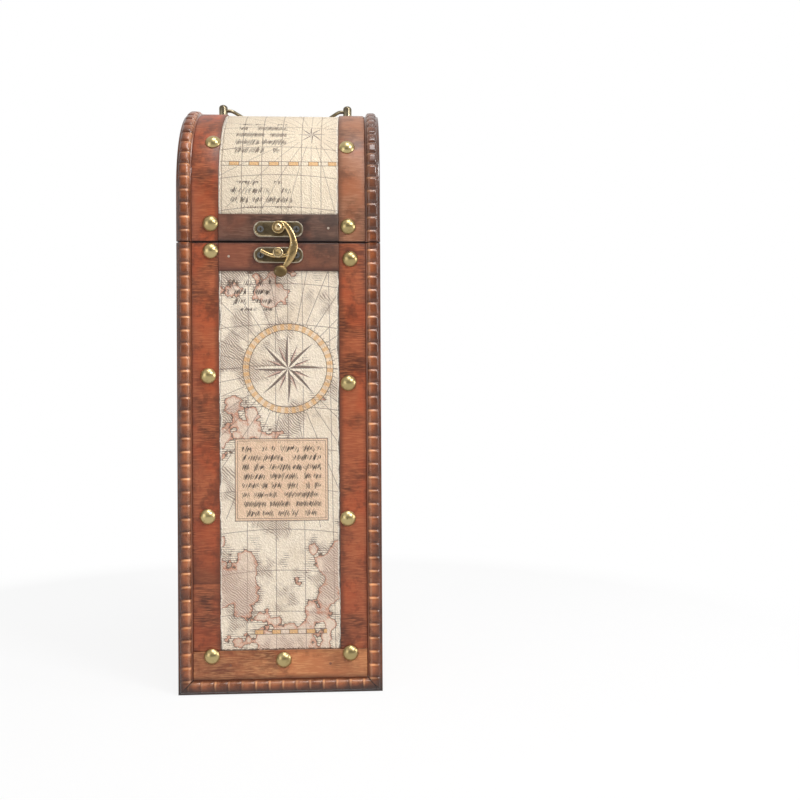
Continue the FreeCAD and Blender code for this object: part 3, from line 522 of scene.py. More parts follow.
# Stiles and rails of the front
# Thin strips of reddish hardwood glued round the print: two stiles, the left one of two lengths, and
# two rails that stand a little proud, a dark one below the seam and a paler one above the foot trim.
def strip_wood(name, tones, axis, edges, ends=None, plate=None, joint=None):
    """Grain across the box, darker along the strip's two long edges. They lie at `edges` metres
    from the middle plane, for axis 0, or from the base, for axis 2. A strip that lies across the box
    drifts towards other tones at its left and right ends, and may be darker round a plate that is
    screwed to it, from dirt and painted shade. An upright one may be of two lengths that meet at a joint."""
    wood = Wood(name, GRAIN_ALONG_X)
    place = wood.split(wood.where)
    tone = wood.stain(*tones)
    if ends:
        left_tone, right_tone = ends
        tone = wood.mix(wood.rise(place[0], 0.01, -0.03) * 0.5, tone, left_tone)
        tone = wood.mix(wood.rise(place[0], -0.01, 0.03) * 0.5, tone, right_tone)
    if joint:
        above = wood.rise(place[2], joint + 0.022, joint) * wood.rise(place[2], joint, joint + 0.0006)
        below = wood.rise(place[2], joint - 0.012, joint) * wood.rise(place[2], joint, joint - 0.0006)
        tone = wood.mix(above * wood.rise(wood.blotch, 0.2, 0.6) * 0.6, tone, tones[0])
        tone = wood.mix(below * wood.rise(wood.band, 0.3, 0.7) * 0.35, tone, tones[2])
        tone = wood.mix(wood.rise(wood.size(place[2] - joint), 0.0007, 0.0001) * 0.7, tone, tones[0])
    near_edge, far_edge = edges
    beside = wood.size(place[axis])
    darker_edges = wood.rise(beside, near_edge + 0.0035, near_edge)
    darker_edges = darker_edges + wood.rise(beside, far_edge - 0.0024, far_edge) * 0.5
    tone = wood.mix(darker_edges * wood.rise(wood.blotch, 0.25, 0.6) * 0.75, tone, tones[0])
    if plate:
        low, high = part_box(plate)
        beyond_side = wood.size(place[0] - (low.x + high.x) / 2) - (high.x - low.x) / 2
        beyond_height = wood.size(place[2] - (low.z + high.z) / 2) - (high.z - low.z) / 2
        beyond = wood.math("MAXIMUM", beyond_side, beyond_height)
        # Darker round the plate: dirt, and painted shade under and beside it.
        grime_and_shade = wood.rise(beyond, 0.005, 0.0) * wood.rise(wood.smudge, 0.3, 0.6)
        tone = wood.mix(grime_and_shade * 0.8, tone, tones[0])
    return wood.lacquer(seam_line(wood, tone, place[2]), 0.42)


STILE_STAIN = paint(80, 40, 24), paint(151, 78, 47), paint(184, 106, 66), paint(168, 75, 39)
TOP_RAIL_STAIN = paint(54, 32, 25), paint(118, 70, 51), paint(156, 104, 78), paint(144, 78, 53)
TOP_RAIL_ENDS = paint(136, 72, 48), paint(82, 58, 46)
FOOT_RAIL_STAIN = paint(78, 44, 28), paint(186, 120, 76), paint(238, 180, 122), paint(178, 98, 58)
FOOT_RAIL_ENDS = paint(142, 76, 48), paint(170, 107, 68)
STRIP_SOFT_EDGE = 0.0005
STILE_JOINT = 0.065


def flat_strip(node, body, material):
    """A straight strip with softened edges, of the size of its solid."""
    low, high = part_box(node)
    strip = block(f"{node}_wood", low, high)
    soften(strip, STRIP_SOFT_EDGE)
    fit(strip, material, body, "strip_wood", node)


def rail(node, body, tones, ends, plate=None):
    """A strip that lies across the box, with a finish of its own."""
    low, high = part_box(node)
    flat_strip(node, body, strip_wood(f"{node}_stained", tones, 2, (low.z, high.z), ends, plate))


stile_low, stile_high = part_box("front_right_stile")
stile_edges = (stile_low.x, stile_high.x)
stile_wood = strip_wood("stile_wood", STILE_STAIN, 0, stile_edges)
spliced_wood = strip_wood("spliced_stile_wood", STILE_STAIN, 0, stile_edges, joint=STILE_JOINT)
flat_strip("front_left_stile", "box", spliced_wood)
flat_strip("front_right_stile", "box", stile_wood)
rail("front_top_rail", "box", TOP_RAIL_STAIN, TOP_RAIL_ENDS, "catch_plate")
rail("front_bottom_rail", "box", FOOT_RAIL_STAIN, FOOT_RAIL_ENDS)


# Embossed trims of the box
# Strips of dark red-brown leather, pressed into a row of half-round beads and glued over the front
# edges; the outer margin is turned over onto the side. Each bead is rubbed pale under its notch, a
# stroke that is also a painted highlight, and has painted light and shade.
BEAD_PITCH = 0.00785
TRIM_WIDE = 0.009
TRIM_MARGIN = 0.0013
MARGIN_THICK = 0.0012
BEAD_ROUND = 0.0019
BEAD_RINGS = 12
NOTCH_HEIGHTS = ((0, 0.5), (1, 0.8), (2, 0.94))
FLAP_THICK = 0.001
FLAP_SOFT_EDGE = 0.0004
MANY_CUTS = 120
trim_low, trim_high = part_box("left_edge_trim")
board_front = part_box("front_board")[0].y
trim_outer = trim_low.x
trim_crest = trim_low.y
trim_top = trim_high.z
# Painted shade and painted light: a shaded and a lit copy of the leather.
LEATHER_SHADED = paint(70, 36, 21), paint(104, 56, 33)
LEATHER_LIT = paint(118, 63, 37), paint(174, 99, 58)
LEATHER_MARGIN_GLARE = paint(138, 80, 55)
LEATHER_PAINTED_SHEEN = paint(186, 140, 110)
LEATHER_RUBBED_HIGHLIGHT = paint(240, 172, 118)
LEATHER_FOOT_SHADE = paint(44, 28, 23)
LEATHER_DARK = paint(72, 51, 42)
MITRE_GAP = paint(28, 17, 14)


def trim_leather():
    """Glossy embossed leather. Laid flat, one bead is 1 long and the trim 1 wide, from its outer edge."""
    finish = Finish("trim_leather")
    across, along = finish.split(finish.unwrapped())[:2]
    where = finish.place()
    patch = finish.noise(where, 110, 4)
    grain = finish.noise(where, 2600, 3)
    place = finish.split(where)
    side = place[0]
    height = place[2]

    # Painted light and shade: each bead is lit towards its upper end and inner side, shaded towards
    # its lower end and outer side, with a painted line of sheen.
    in_bead = finish.math("FRACT", along)
    worn = finish.rise(patch * 0.7 + grain * 0.3, 0.36, 0.62)
    lit_share = finish.rise(across, 0.18, 0.68) * finish.rise(across, 0.96, 0.8)
    lit_share = lit_share * finish.rise(in_bead, -0.2, 0.7)
    tone = finish.mix(lit_share, finish.mix(worn, *LEATHER_SHADED), finish.mix(worn, *LEATHER_LIT))
    # A painted sheen along the inner side of the beads.
    sheen = finish.rise(across, 0.6, 0.76) * finish.rise(across, 0.9, 0.82)
    sheen = sheen * finish.rise(grain + patch, 0.75, 1.15)
    tone = finish.mix(sheen * 0.5, tone, LEATHER_PAINTED_SHEEN)
    # The inner margin is painted lighter: reddish brown with a painted glare.
    tone = finish.mix(finish.rise(across, 0.87, 0.93) * 0.7, tone, LEATHER_MARGIN_GLARE)

    # The upper end of a bead is rubbed pale in a bowed stroke, on some beads more than on others;
    # the stroke is also a painted highlight.
    bowed = finish.math("FRACT", along + (across - 0.6) * (across - 0.6) * 0.3)
    stroke = finish.rise(bowed, 0.79, 0.89) * finish.rise(bowed, 0.99, 0.94)
    stroke = stroke * finish.rise(across, 0.15, 0.75) * finish.rise(across, 0.9, 0.8)
    each = finish.noise(finish.vector(finish.math("FLOOR", along) * 1.7, side * 30.0, 0.0), 1.0, 0)
    rubbed_highlight = stroke * finish.rise(each, 0.05, 0.75) * finish.rise(patch, 0.15, 0.6)
    tone = finish.mix(rubbed_highlight, tone, LEATHER_RUBBED_HIGHLIGHT)

    # Painted shade at the foot, darker lower corners, open mitres, and the darker right side of the lid.
    inward = -trim_outer - finish.size(side)
    from_corner = finish.math("MAXIMUM", inward, height)
    corner = finish.rise(from_corner, TRIM_WIDE + 0.002, TRIM_WIDE - 0.002)
    tone = finish.mix(corner * 0.65, tone, LEATHER_FOOT_SHADE)
    tone = finish.mix(finish.rise(height, 0.0075, 0.001) * 0.75, tone, LEATHER_FOOT_SHADE)
    mitre = finish.rise(finish.size(inward - height), 0.0005, 0.0002)
    mitre = mitre * finish.rise(from_corner, TRIM_WIDE + 0.0003, TRIM_WIDE)
    tone = finish.mix(mitre * 0.85, tone, MITRE_GAP)
    on_lid = finish.rise(height, SEAM_HEIGHT, SEAM_HEIGHT + 0.012)
    at_right = finish.rise(side, -0.01, 0.01)
    tone = finish.mix(on_lid * at_right * 0.6, tone, LEATHER_DARK)
    return finish.shade({
        "Base Color": tone,
        "Roughness": patch * 0.16 + 0.14,
        "Specular IOR Level": 0.5,
        "Normal": finish.bump(grain, 0.00006, 0.5),
    })


leather = trim_leather()


def lay_flat(piece, flat_place):
    """Give each corner of a straight piece its place on the flat sheet, as a UV map."""
    sheet = piece.data.uv_layers.new(name="laid_flat")
    for loop, spot in zip(piece.data.loops, sheet.data):
        spot.uv = flat_place(piece.data.vertices[loop.vertex_index].co)


def unwrap_trim(strip, start):
    """Lay the strip out flat: across in widths from the outer edge, along in beads."""
    lay_flat(strip, lambda corner: ((corner.x - trim_outer) / TRIM_WIDE, (corner.z - start) / BEAD_PITCH))


def embossed_strip(name, start, beads):
    """A straight strip of beads along the left front edge, from the height `start` up."""
    inner = trim_outer + TRIM_WIDE
    middle = trim_outer + TRIM_WIDE / 2
    margin_face = board_front - MARGIN_THICK
    strip = block(name, (trim_outer, margin_face, start), (inner, board_front, start + BEAD_PITCH))
    for bead_edge in (trim_outer + TRIM_MARGIN, inner - TRIM_MARGIN):
        pick(strip, "polygons", lambda face: True)
        bpy.ops.mesh.bisect(plane_co=(bead_edge, 0, 0), plane_no=(1, 0, 0))
        leave_edit()
    pick(strip, "polygons", lambda face: face.normal.y < -0.99
         and abs(face.center.x - middle) < TRIM_MARGIN)
    bpy.ops.mesh.extrude_region_move(TRANSFORM_OT_translate={"value": (0, trim_crest - margin_face, 0)})
    leave_edit()
    pick(strip, "polygons", lambda face: abs(face.normal.z) > 0.9)
    bpy.ops.mesh.delete(type="FACE")
    leave_edit()
    upright = edge_runs(strip, 2)

    def at_depth(edge, depth):
        return all(abs(strip.data.vertices[corner].co.y - depth) < 1e-5 for corner in edge.vertices)

    pick(strip, "edges", lambda edge: upright(edge) and at_depth(edge, board_front))
    bpy.ops.transform.edge_crease(value=1.0)
    leave_edit()
    pick(strip, "edges", lambda edge: upright(edge) and at_depth(edge, trim_crest))
    bpy.ops.mesh.bevel(offset=BEAD_ROUND, segments=4, affect="EDGES")
    leave_edit()
    divide(strip, 2, BEAD_RINGS - 1)
    for ring, high in NOTCH_HEIGHTS:
        from_end = ring * BEAD_PITCH / BEAD_RINGS
        notch = (start + from_end, start + BEAD_PITCH - from_end)
        pick(strip, "vertices", lambda corner: corner.co.y < margin_face - 1e-5
             and min(abs(corner.co.z - height) for height in notch) < 1e-5)
        bpy.ops.transform.resize(value=(1, high, 1), center_override=(0, margin_face, 0))
        leave_edit()
    row = strip.modifiers.new("Row of beads", "ARRAY")
    row.count = beads
    row.use_relative_offset = False
    row.use_constant_offset = True
    row.constant_offset_displace = (0, 0, BEAD_PITCH)
    row.use_merge_vertices = True
    row.merge_threshold = 0.00001
    rounding = strip.modifiers.new("Pressed round", "SUBSURF")
    rounding.levels = 1
    rounding.render_levels = 1
    apply_all(strip)
    return strip


def cut_end(strip, point, away):
    """Cut a strip off at a plane and close the cut."""
    pick(strip, "polygons", lambda face: True)
    bpy.ops.mesh.bisect(plane_co=point, plane_no=away, use_fill=True, clear_outer=True)
    leave_edit()


def side_flap(strip, low, high):
    """Join on the margin that is turned over onto the side."""
    inner_face = trim_outer + FLAP_THICK
    flap = block("trim_flap", (trim_outer, board_front, low), (inner_face, trim_high.y, high))
    soften(flap, FLAP_SOFT_EDGE, 2)
    divide(flap, 2, MANY_CUTS)
    choose(strip, flap)
    bpy.ops.object.join()


def own_copy(piece, name):
    """The same piece again, with its own mesh."""
    other = piece.copy()
    other.data = piece.data.copy()
    other.name = name
    other.data.name = name
    bpy.context.scene.collection.objects.link(other)
    return other


def mirror_copy(piece, name):
    """The same piece on the other side of the middle plane, with its own mesh."""
    other = own_copy(piece, name)
    other.data.transform(Matrix.Scale(-1, 4, (1, 0, 0)))
    other.data.flip_normals()
    return other


def smooth(piece):
    """Shade a piece smooth, apart from its sharp edges."""
    choose(piece)
    bpy.ops.object.shade_smooth_by_angle(angle=math.radians(50))


FOOT_LINE = trim_low.z
left_trim = embossed_strip("left_trim", TRIM_WIDE - 2 * BEAD_PITCH, beads=35)
cut_end(left_trim, (trim_outer, 0, FOOT_LINE), (1, 0, -1))
cut_end(left_trim, (0, 0, trim_top), (0, 0, 1))
side_flap(left_trim, FOOT_LINE, trim_top)
unwrap_trim(left_trim, TRIM_WIDE)
smooth(left_trim)
right_trim = mirror_copy(left_trim, "right_trim")

foot_trim = embossed_strip("foot_trim", trim_outer - BEAD_PITCH / 2, beads=17)
unwrap_trim(foot_trim, trim_outer - BEAD_PITCH / 2)
to_axis = Matrix.Translation((-trim_outer, 0, 0))
foot_trim.data.transform(Matrix.Rotation(math.radians(-90), 4, "Y") @ to_axis)
cut_end(foot_trim, (trim_outer, 0, 0), (-1, 0, 1))
cut_end(foot_trim, (-trim_outer, 0, 0), (1, 0, 1))
smooth(foot_trim)

fit(left_trim, leather, "box", "trim", "left_edge_trim")
fit(right_trim, leather, "box", "trim", "right_edge_trim")
fit(foot_trim, leather, "box", "trim", "bottom_edge_trim")


# Nails and brads
# Dome-head nails of pale polished brass hold the strips and the print; small dull brads, punched
# just below the surface, pin the rails. The stain has run over some of the brads.
# Black in the cross recesses of the screw heads.
RECESS_BLACK = paint(16, 14, 13)
NAIL_BRASS = paint(188, 170, 122), paint(120, 100, 56)
BRAD_STEEL = paint(204, 190, 174)
BRAD_STAINED = paint(116, 74, 55)


def brass(name, polished, tarnish, spots, roughness, dents=0.2, face=None):
    """Clouded brass or steel, duller in some places; below the plane y = `face` it is black."""
    finish = Finish(name)
    where = finish.place()
    cloud = finish.noise(where, 420, 4)
    speck = finish.noise(where, 2400, 3)
    tone = finish.mix(finish.rise(cloud * 0.6 + speck * 0.4, spots, spots + 0.2), polished, tarnish)
    age = finish.rise(finish.noise(where, 13, 1), 0.42, 0.6)
    tone = finish.mix(age * 0.35, tone, tarnish)
    if face:
        sunk = finish.rise(finish.size(finish.split(where)[1] - face), 0.00012, 0.0003)
        tone = finish.mix(sunk, tone, RECESS_BLACK)
    return finish.shade({
        "Base Color": tone,
        "Metallic": 1.0,
        "Roughness": cloud * 0.2 + (roughness - 0.1),
        "Normal": finish.bump(cloud, 0.00004, dents),
    })


def brad_steel(name, bare_side):
    """Dull steel on one side of the box at the height of the latch; stained over elsewhere."""
    finish = Finish(name)
    place = finish.split(finish.place())
    bare = finish.rise(place[0] * bare_side, -0.01, 0.01) * finish.rise(place[2], 0.1, 0.2)
    return finish.shade({
        "Base Color": finish.mix(bare, BRAD_STAINED, BRAD_STEEL),
        "Metallic": bare,
        "Roughness": finish.noise(finish.place(), 2400, 3) * 0.2 + 0.35,
    })


nail_brass = brass("nail_brass", *NAIL_BRASS, spots=0.54, roughness=0.31, dents=0.02)
dress(("front_brads",), brad_steel("front_brad_steel", -1))
dress(("lid_brads",), brad_steel("lid_brad_steel", 1))
NAIL_RADIUS = 0.0046
NAIL_HIGH = 0.0028
NAIL_RIM = 0.0003
NAIL_SOFT_EDGE = 0.00012
spring_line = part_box("lid_dome_sheet")[0].z


def joined(pieces):
    """Several pieces made one, under the first one's name."""
    choose(*pieces)
    bpy.ops.object.join()
    smooth(pieces[0])
    return pieces[0]


def outward(spot):
    """From the middle plane of the walls, or the middle line of the dome, towards a point."""
    return Vector((0, spot.y, max(spot.z - spring_line, 0)))


def nail_tops(node):
    """The top of each nail, from a copy of the solid nails that is taken apart."""
    spare = own_copy(nodes[node], "spare_nails")
    choose(spare)
    pick(spare, "vertices", lambda corner: True)
    bpy.ops.mesh.remove_doubles(threshold=0.00001)
    bpy.ops.mesh.separate(type="LOOSE")
    leave_edit()
    tops = []
    for single in list(bpy.context.selected_objects):
        spots = [corner.co.copy() for corner in single.data.vertices]
        tops.append(max(spots, key=lambda spot: outward(spot).length))
        bpy.data.objects.remove(single)
    return sorted(tops, key=lambda top: (round(top.z, 4), top.x))


def nail_head():
    """A cap cut from a ball, standing on a thin upright rim on the XY plane."""
    cap = NAIL_HIGH - NAIL_RIM
    ball = (NAIL_RADIUS ** 2 + cap ** 2) / (2 * cap)
    choose()
    bpy.ops.mesh.primitive_uv_sphere_add(segments=40, ring_count=36, radius=ball, calc_uvs=False,
                                         location=(0, 0, NAIL_HIGH - ball))
    head = settled("nail_head")
    pick(head, "polygons", lambda face: True)
    bpy.ops.mesh.bisect(plane_co=(0, 0, NAIL_RIM), plane_no=(0, 0, -1), use_fill=True, clear_outer=True)
    leave_edit()
    pick(head, "polygons", lambda face: face.normal.z < -0.99)
    bpy.ops.mesh.extrude_region_move(TRANSFORM_OT_translate={"value": (0, 0, -NAIL_RIM)})
    leave_edit()
    soften(head, NAIL_SOFT_EDGE, 2)
    return head


def dome_nails(node, body):
    """One nail head over each solid nail, square to the wall or the dome."""
    pattern = nail_head()
    heads = []
    for top in nail_tops(node):
        away = outward(top).normalized()
        turned_out = away.to_track_quat("Z", "Y").to_matrix().to_4x4()
        head = own_copy(pattern, f"{node}_domed")
        head.data.transform(Matrix.Translation(top - away * NAIL_HIGH) @ turned_out)
        heads.append(head)
    bpy.data.objects.remove(pattern)
    fit(joined(heads), nail_brass, body, "nail_brass", node)


dome_nails("front_nails", "box")
dome_nails("lid_nails", "lid")


# Catch on the box
# A small stamped plate with rounded ends and a raised rim, held by two cross-head steel screws, and a
# turned post with a dished head. Plate and post have antique bronze plating, rubbed bright on edges.
def aged_bronze(name, bright, middle, dark, roughness, dull_below=0.0):
    """Antique plating: bright where it is rubbed, dark in the hollows and below a given height."""
    finish = Finish(name)
    where = finish.place()
    cloud = finish.noise(where, 300, 4)
    speck = finish.noise(where, 1800, 3)
    ridge = finish.node("ShaderNodeNewGeometry", {}, "Pointiness") + (speck - 0.5) * 0.06
    tone = finish.mix(finish.rise(ridge + (cloud - 0.5) * 0.12, 0.42, 0.50), dark, middle)
    tone = finish.mix(finish.rise(ridge, 0.505, 0.57), tone, bright)
    height = finish.split(where)[2]
    dull = finish.rise(height, dull_below + 0.0015, dull_below - 0.0015)
    tone = finish.mix(dull * 0.75, tone, dark)
    return finish.shade({
        "Base Color": tone,
        "Metallic": 1.0,
        "Roughness": cloud * 0.24 + dull * 0.2 + (roughness - 0.12),
        "Normal": finish.bump(speck, 0.00003, 0.2),
    })


THUMB_TOP = 0.2495
LATCH_TONES = paint(250, 238, 206), paint(182, 155, 108), paint(50, 38, 22)
PLATE_TONES = paint(216, 206, 184), paint(120, 105, 80), paint(56, 47, 35)
latch_bronze = aged_bronze("latch_bronze", *LATCH_TONES, roughness=0.27, dull_below=THUMB_TOP)
plate_bronze = aged_bronze("plate_bronze", *PLATE_TONES, roughness=0.36)
SCREW_STEEL = paint(150, 149, 147), paint(104, 103, 101)
PLATE_END_ROUND = 0.46
PLATE_RIM = 0.0007
RIM_SLOPE = 0.0004
PLATE_DISH = 0.0005
PLATE_SOFT_EDGE = 0.0002


def stamped_plate(node, body):
    """A plate with round ends, dished inside a raised rim."""
    low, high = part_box(node)
    plate = block(f"{node}_stamped", low, high)
    pick(plate, "edges", edge_runs(plate, 1))
    bpy.ops.mesh.bevel(offset=(high.z - low.z) * PLATE_END_ROUND, segments=10, affect="EDGES")
    leave_edit()
    pick(plate, "polygons", lambda face: face.normal.y < -0.99)
    bpy.ops.mesh.inset(thickness=PLATE_RIM, depth=0.0)
    bpy.ops.mesh.inset(thickness=RIM_SLOPE, depth=-PLATE_DISH)
    leave_edit()
    soften(plate, PLATE_SOFT_EDGE, 2)
    fit(plate, plate_bronze, body, "latch_bronze", node)


def turned(name, middle, front, back, radius, round_edge, dish=0.0):
    """A short turned pin along Y, with a rounded front rim and a dish of the given depth."""
    choose()
    place = (middle[0], (front + back) / 2, middle[1])
    bpy.ops.mesh.primitive_cylinder_add(vertices=48, radius=radius, depth=back - front, location=place,
                                        rotation=(math.pi / 2, 0, 0), calc_uvs=False)
    pin = settled(name)
    pick(pin, "polygons", lambda face: face.normal.y < -0.99)
    bpy.ops.mesh.bevel(offset=round_edge, segments=6, affect="EDGES")
    leave_edit()
    if dish:
        pick(pin, "polygons", lambda face: face.normal.y < -0.999)
        bpy.ops.mesh.inset(thickness=(radius - round_edge) * 0.3, depth=0.0)
        bpy.ops.mesh.inset(thickness=(radius - round_edge) * 0.4, depth=-dish)
        leave_edit()
    return pin


def screws(node, face):
    """Dark steel screws whose cross recess lies behind the plane y = `face`."""
    dress((node,), brass(f"{node}_steel", *SCREW_STEEL, spots=0.45, roughness=0.38, face=face))


for latch_half in ("catch_screws", "latch_screws"):
    screws(latch_half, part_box(latch_half)[0].y)
stamped_plate("catch_plate", "box")
post_low, post_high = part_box("catch_post")
post_middle = ((post_low.x + post_high.x) / 2, (post_low.z + post_high.z) / 2)
post_radius = (post_high.x - post_low.x) / 2
HEAD_HIGH = 0.0026
HEAD_ROUND = 0.0007
HEAD_DISH = 0.0005
NECK_RADIUS = 0.001
NECK_ROUND = 0.0001
NECK_SUNK = 0.0004
head_back = post_low.y + HEAD_HIGH
catch_head = turned("catch_head", post_middle, post_low.y, head_back, post_radius, HEAD_ROUND, HEAD_DISH)
neck_front = head_back - NECK_SUNK
catch_neck = turned("catch_neck", post_middle, neck_front, post_high.y, NECK_RADIUS, NECK_ROUND)
fit(joined([catch_head, catch_neck]), latch_bronze, "box", "latch_bronze", "catch_post")


# Hinges
# Two butt hinges of antique brass on the back: the box leaves carry two knuckles and the pin,
# the lid leaves the knuckle between them.
HINGE_BRASS = paint(176, 150, 98), paint(128, 106, 68)
hinge_brass = brass("hinge_brass", *HINGE_BRASS, spots=0.46, roughness=0.36)
for side in ("left", "right"):
    dress([f"{side}_hinge_{piece}" for piece in ("body_leaf", "pin", "lid_leaf")], hinge_brass)
for leaf in ("hinge_body_screws", "hinge_lid_screws"):
    screws(leaf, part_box(leaf)[1].y)


# Boards of the lid
# Two cheeks with round tops, a low front and back board, and a thin sheet bent and glued over them,
# all of stained plywood. Front board and sheet are covered outside and show only in the open lid.
dress(("lid_left_cheek", "lid_right_cheek", "lid_back_board"), side_wood)
dress(("lid_front_board", "lid_dome_sheet"), inner_wood)


# Print, strips and rail of the lid
# The same leatherette and wood strips as on the front, bent over the dome and ended on the back wall
# above the hinges, the right strip paler with a painted sheen; a short dark rail under the print
# carries the latch.
BACK_STOP = 0.282
FACING_SOFT_EDGE = 0.0004


def over_dome(piece, radius):
    """Bend a straight piece that stands on the front wall over the dome and down the back.
    Lengths are kept at `radius`, above the springing line."""
    arch = math.pi * radius
    for corner in piece.data.vertices:
        rise = corner.co.z - spring_line
        out = -corner.co.y
        if rise > arch:
            corner.co.y = out
            corner.co.z = spring_line - (rise - arch)
        elif rise > 0:
            turn = rise / radius
            corner.co.y = -out * math.cos(turn)
            corner.co.z = spring_line + out * math.sin(turn)


def facing_length(radius):
    """Where a straight facing has to end so that it stops on the back wall after bending."""
    return spring_line + math.pi * radius + (spring_line - BACK_STOP)


def dome_facing(name, node):
    """A facing as wide and as thick as its solid, made straight and bent over the dome."""
    low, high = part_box(node)
    radius = high.y
    facing = block(name, (low.x, -radius, low.z), (high.x, board_front, facing_length(radius)))
    soften(facing, FACING_SOFT_EDGE, 2)
    divide(facing, 2, 2 * MANY_CUTS)
    lay_flat(facing, lambda corner: (corner.x, corner.z))
    over_dome(facing, radius)
    smooth(facing)
    return facing


LID_CREAM = paint(233, 218, 194)
LID_ROSE_MIDDLE = (19.0, 334.0)
WIDE_NOTE_ROW = 6.6
lid_chart = Chart("lid_chart", LID_CREAM, unwrapped_mm(0), unwrapped_mm(1))
lid_chart.graticule(across_pitch=11.6, along_pitch=19.0, bow=0.0)
lid_rose_radius, lid_rose_angle = lid_chart.polar(*LID_ROSE_MIDDLE)
lid_chart.rays(lid_rose_radius, lid_rose_angle, count=24, inner=10.0, outer=70.0, strength=0.55)
lid_chart.star(lid_rose_radius, lid_rose_angle, 8, inner=2.0, outer=8.5, light=CREAM, dark=INK_SOFT)
lid_chart.scale_bar(middle=311.0, left=-40.0, right=40.0, segment=5.8)
lid_chart.notes(low=284, high=300, left=-28, right=8, row_pitch=NOTE_ROW, strength=0.9)
lid_chart.notes(low=318, high=346, left=-26, right=4, row_pitch=WIDE_NOTE_ROW, strength=0.9)
lid_print_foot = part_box("lid_print_panel")[0].z
lid_chart_print = lid_chart.finished(PRINT_HALF_WIDE, foot=lid_print_foot * 1000, edge_dark_share=0.35)
lid_print = dome_facing("lid_print", "lid_print_panel")
fit(lid_print, lid_chart_print, "lid", "print", "lid_print_panel")

# The right strip is paler and greyer: a painted sheen.
SHEEN_PALE_STAIN = paint(98, 62, 44), paint(152, 100, 72), paint(180, 130, 100), paint(166, 96, 62)
sheen_pale_wood = strip_wood("sheen_pale_strip_wood", SHEEN_PALE_STAIN, 0, stile_edges)
for side, lid_wood in (("left", stile_wood), ("right", sheen_pale_wood)):
    lid_strip = dome_facing(f"lid_{side}_wood", f"lid_{side}_strip")
    fit(lid_strip, lid_wood, "lid", "strip_wood", f"lid_{side}_strip")

LID_RAIL_STAIN = paint(40, 27, 23), paint(102, 68, 54), paint(142, 106, 88), paint(130, 74, 54)
LID_RAIL_ENDS = paint(106, 66, 49), paint(80, 64, 56)
rail("lid_front_rail", "lid", LID_RAIL_STAIN, LID_RAIL_ENDS, "latch_plate")


# Embossed trims of the lid
# The same pressed leather in two strips, bent over the two edges of the dome, glued down and turned
# over onto the cheeks. The right one is darker.
crest_radius = -trim_crest
lid_trim_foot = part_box("lid_left_edge_trim")[0].z
lid_trim_end = facing_length(crest_radius)
lid_left_trim = embossed_strip("lid_left_trim", spring_line - 4 * BEAD_PITCH, beads=32)
cut_end(lid_left_trim, (0, 0, lid_trim_foot), (0, 0, -1))
cut_end(lid_left_trim, (0, 0, lid_trim_end), (0, 0, 1))
side_flap(lid_left_trim, lid_trim_foot, lid_trim_end)
unwrap_trim(lid_left_trim, spring_line)
over_dome(lid_left_trim, crest_radius)
smooth(lid_left_trim)
lid_right_trim = mirror_copy(lid_left_trim, "lid_right_trim")
fit(lid_left_trim, leather, "lid", "trim", "lid_left_edge_trim")
fit(lid_right_trim, leather, "lid", "trim", "lid_right_edge_trim")


# Latch on the lid
# A plate like the catch plate, a round-headed rivet and the cast hook that swings on it. The hook
# is a tapered crescent with an eye, a prong that lies behind the post's head, and a thumb tab.
def tapered_wire(name, points, radii, sides=8):
    """A round wire along a smooth line through the air, with its own radius at each point."""
    line = bpy.data.curves.new(name, "CURVE")
    line.dimensions = "3D"
    line.bevel_depth = 1.0
    line.bevel_resolution = sides
    line.use_fill_caps = True
    line.resolution_u = 12
    spline = line.splines.new("NURBS")
    spline.points.add(len(points) - 1)
    for spot, place, radius in zip(spline.points, points, radii):
        spot.co = (*place, 1)
        spot.radius = radius
    spline.order_u = 3
    spline.use_endpoint_u = True
    wire = bpy.data.objects.new(name, line)
    bpy.context.scene.collection.objects.link(wire)
    choose(wire)
    bpy.ops.object.convert(target="MESH")
    pick(wire, "vertices", lambda corner: True)
    bpy.ops.mesh.remove_doubles(threshold=0.00001)
    leave_edit()
    return wire


def flatten(piece, share, middle):
    """Press a piece flat along Y to a share of its depth, about a plane."""
    pressed = Matrix.Diagonal((1, share, 1, 1))
    piece.data.transform(Matrix.Translation((0, middle * (1 - share), 0)) @ pressed)


hook_low, hook_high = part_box("latch_hook")
rivet_low, rivet_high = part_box("latch_rivet")
pivot = ((rivet_low.x + rivet_high.x) / 2, (rivet_low.z + rivet_high.z) / 2)
HOOK_THICK = 0.0016
hook_back = hook_high.y
hook_front = hook_back - HOOK_THICK
hook_middle = (hook_front + hook_back) / 2


def from_pivot(right, up):
    """A point of the hook, in millimetres from the rivet."""
    return pivot[0] + right / 1000, hook_middle, pivot[1] + up / 1000


ARM_LINE = (
    (0.6, 2.7), (3.4, 2.6), (6.3, -1.2), (8.5, -5.6),
    (9.1, -10.2), (7.8, -14.8), (6.3, -19.2), (3.0, -23.6),
)
ARM_HALF_WIDTHS = (0.0010, 0.0015, 0.0017, 0.0019, 0.0024, 0.0030, 0.0021, 0.0010)
ARM_FLATNESS = 0.4
arm = tapered_wire("latch_hook_cast", [from_pivot(*spot) for spot in ARM_LINE], ARM_HALF_WIDTHS)
flatten(arm, ARM_FLATNESS, hook_middle)

PRONG_RADIUS = 17.0
PRONG_ANGLES = (24, 14, 4, -8, -20, -37)
PRONG_HALF_WIDTH = 0.0011
PRONG_FLATNESS = 0.72
prong_line = []
for angle in PRONG_ANGLES:
    turn = math.radians(angle)
    prong_line.append(from_pivot(PRONG_RADIUS * math.sin(turn), -PRONG_RADIUS * math.cos(turn)))
prong = tapered_wire("hook_prong", prong_line, [PRONG_HALF_WIDTH] * len(prong_line))
flatten(prong, PRONG_FLATNESS, hook_middle)

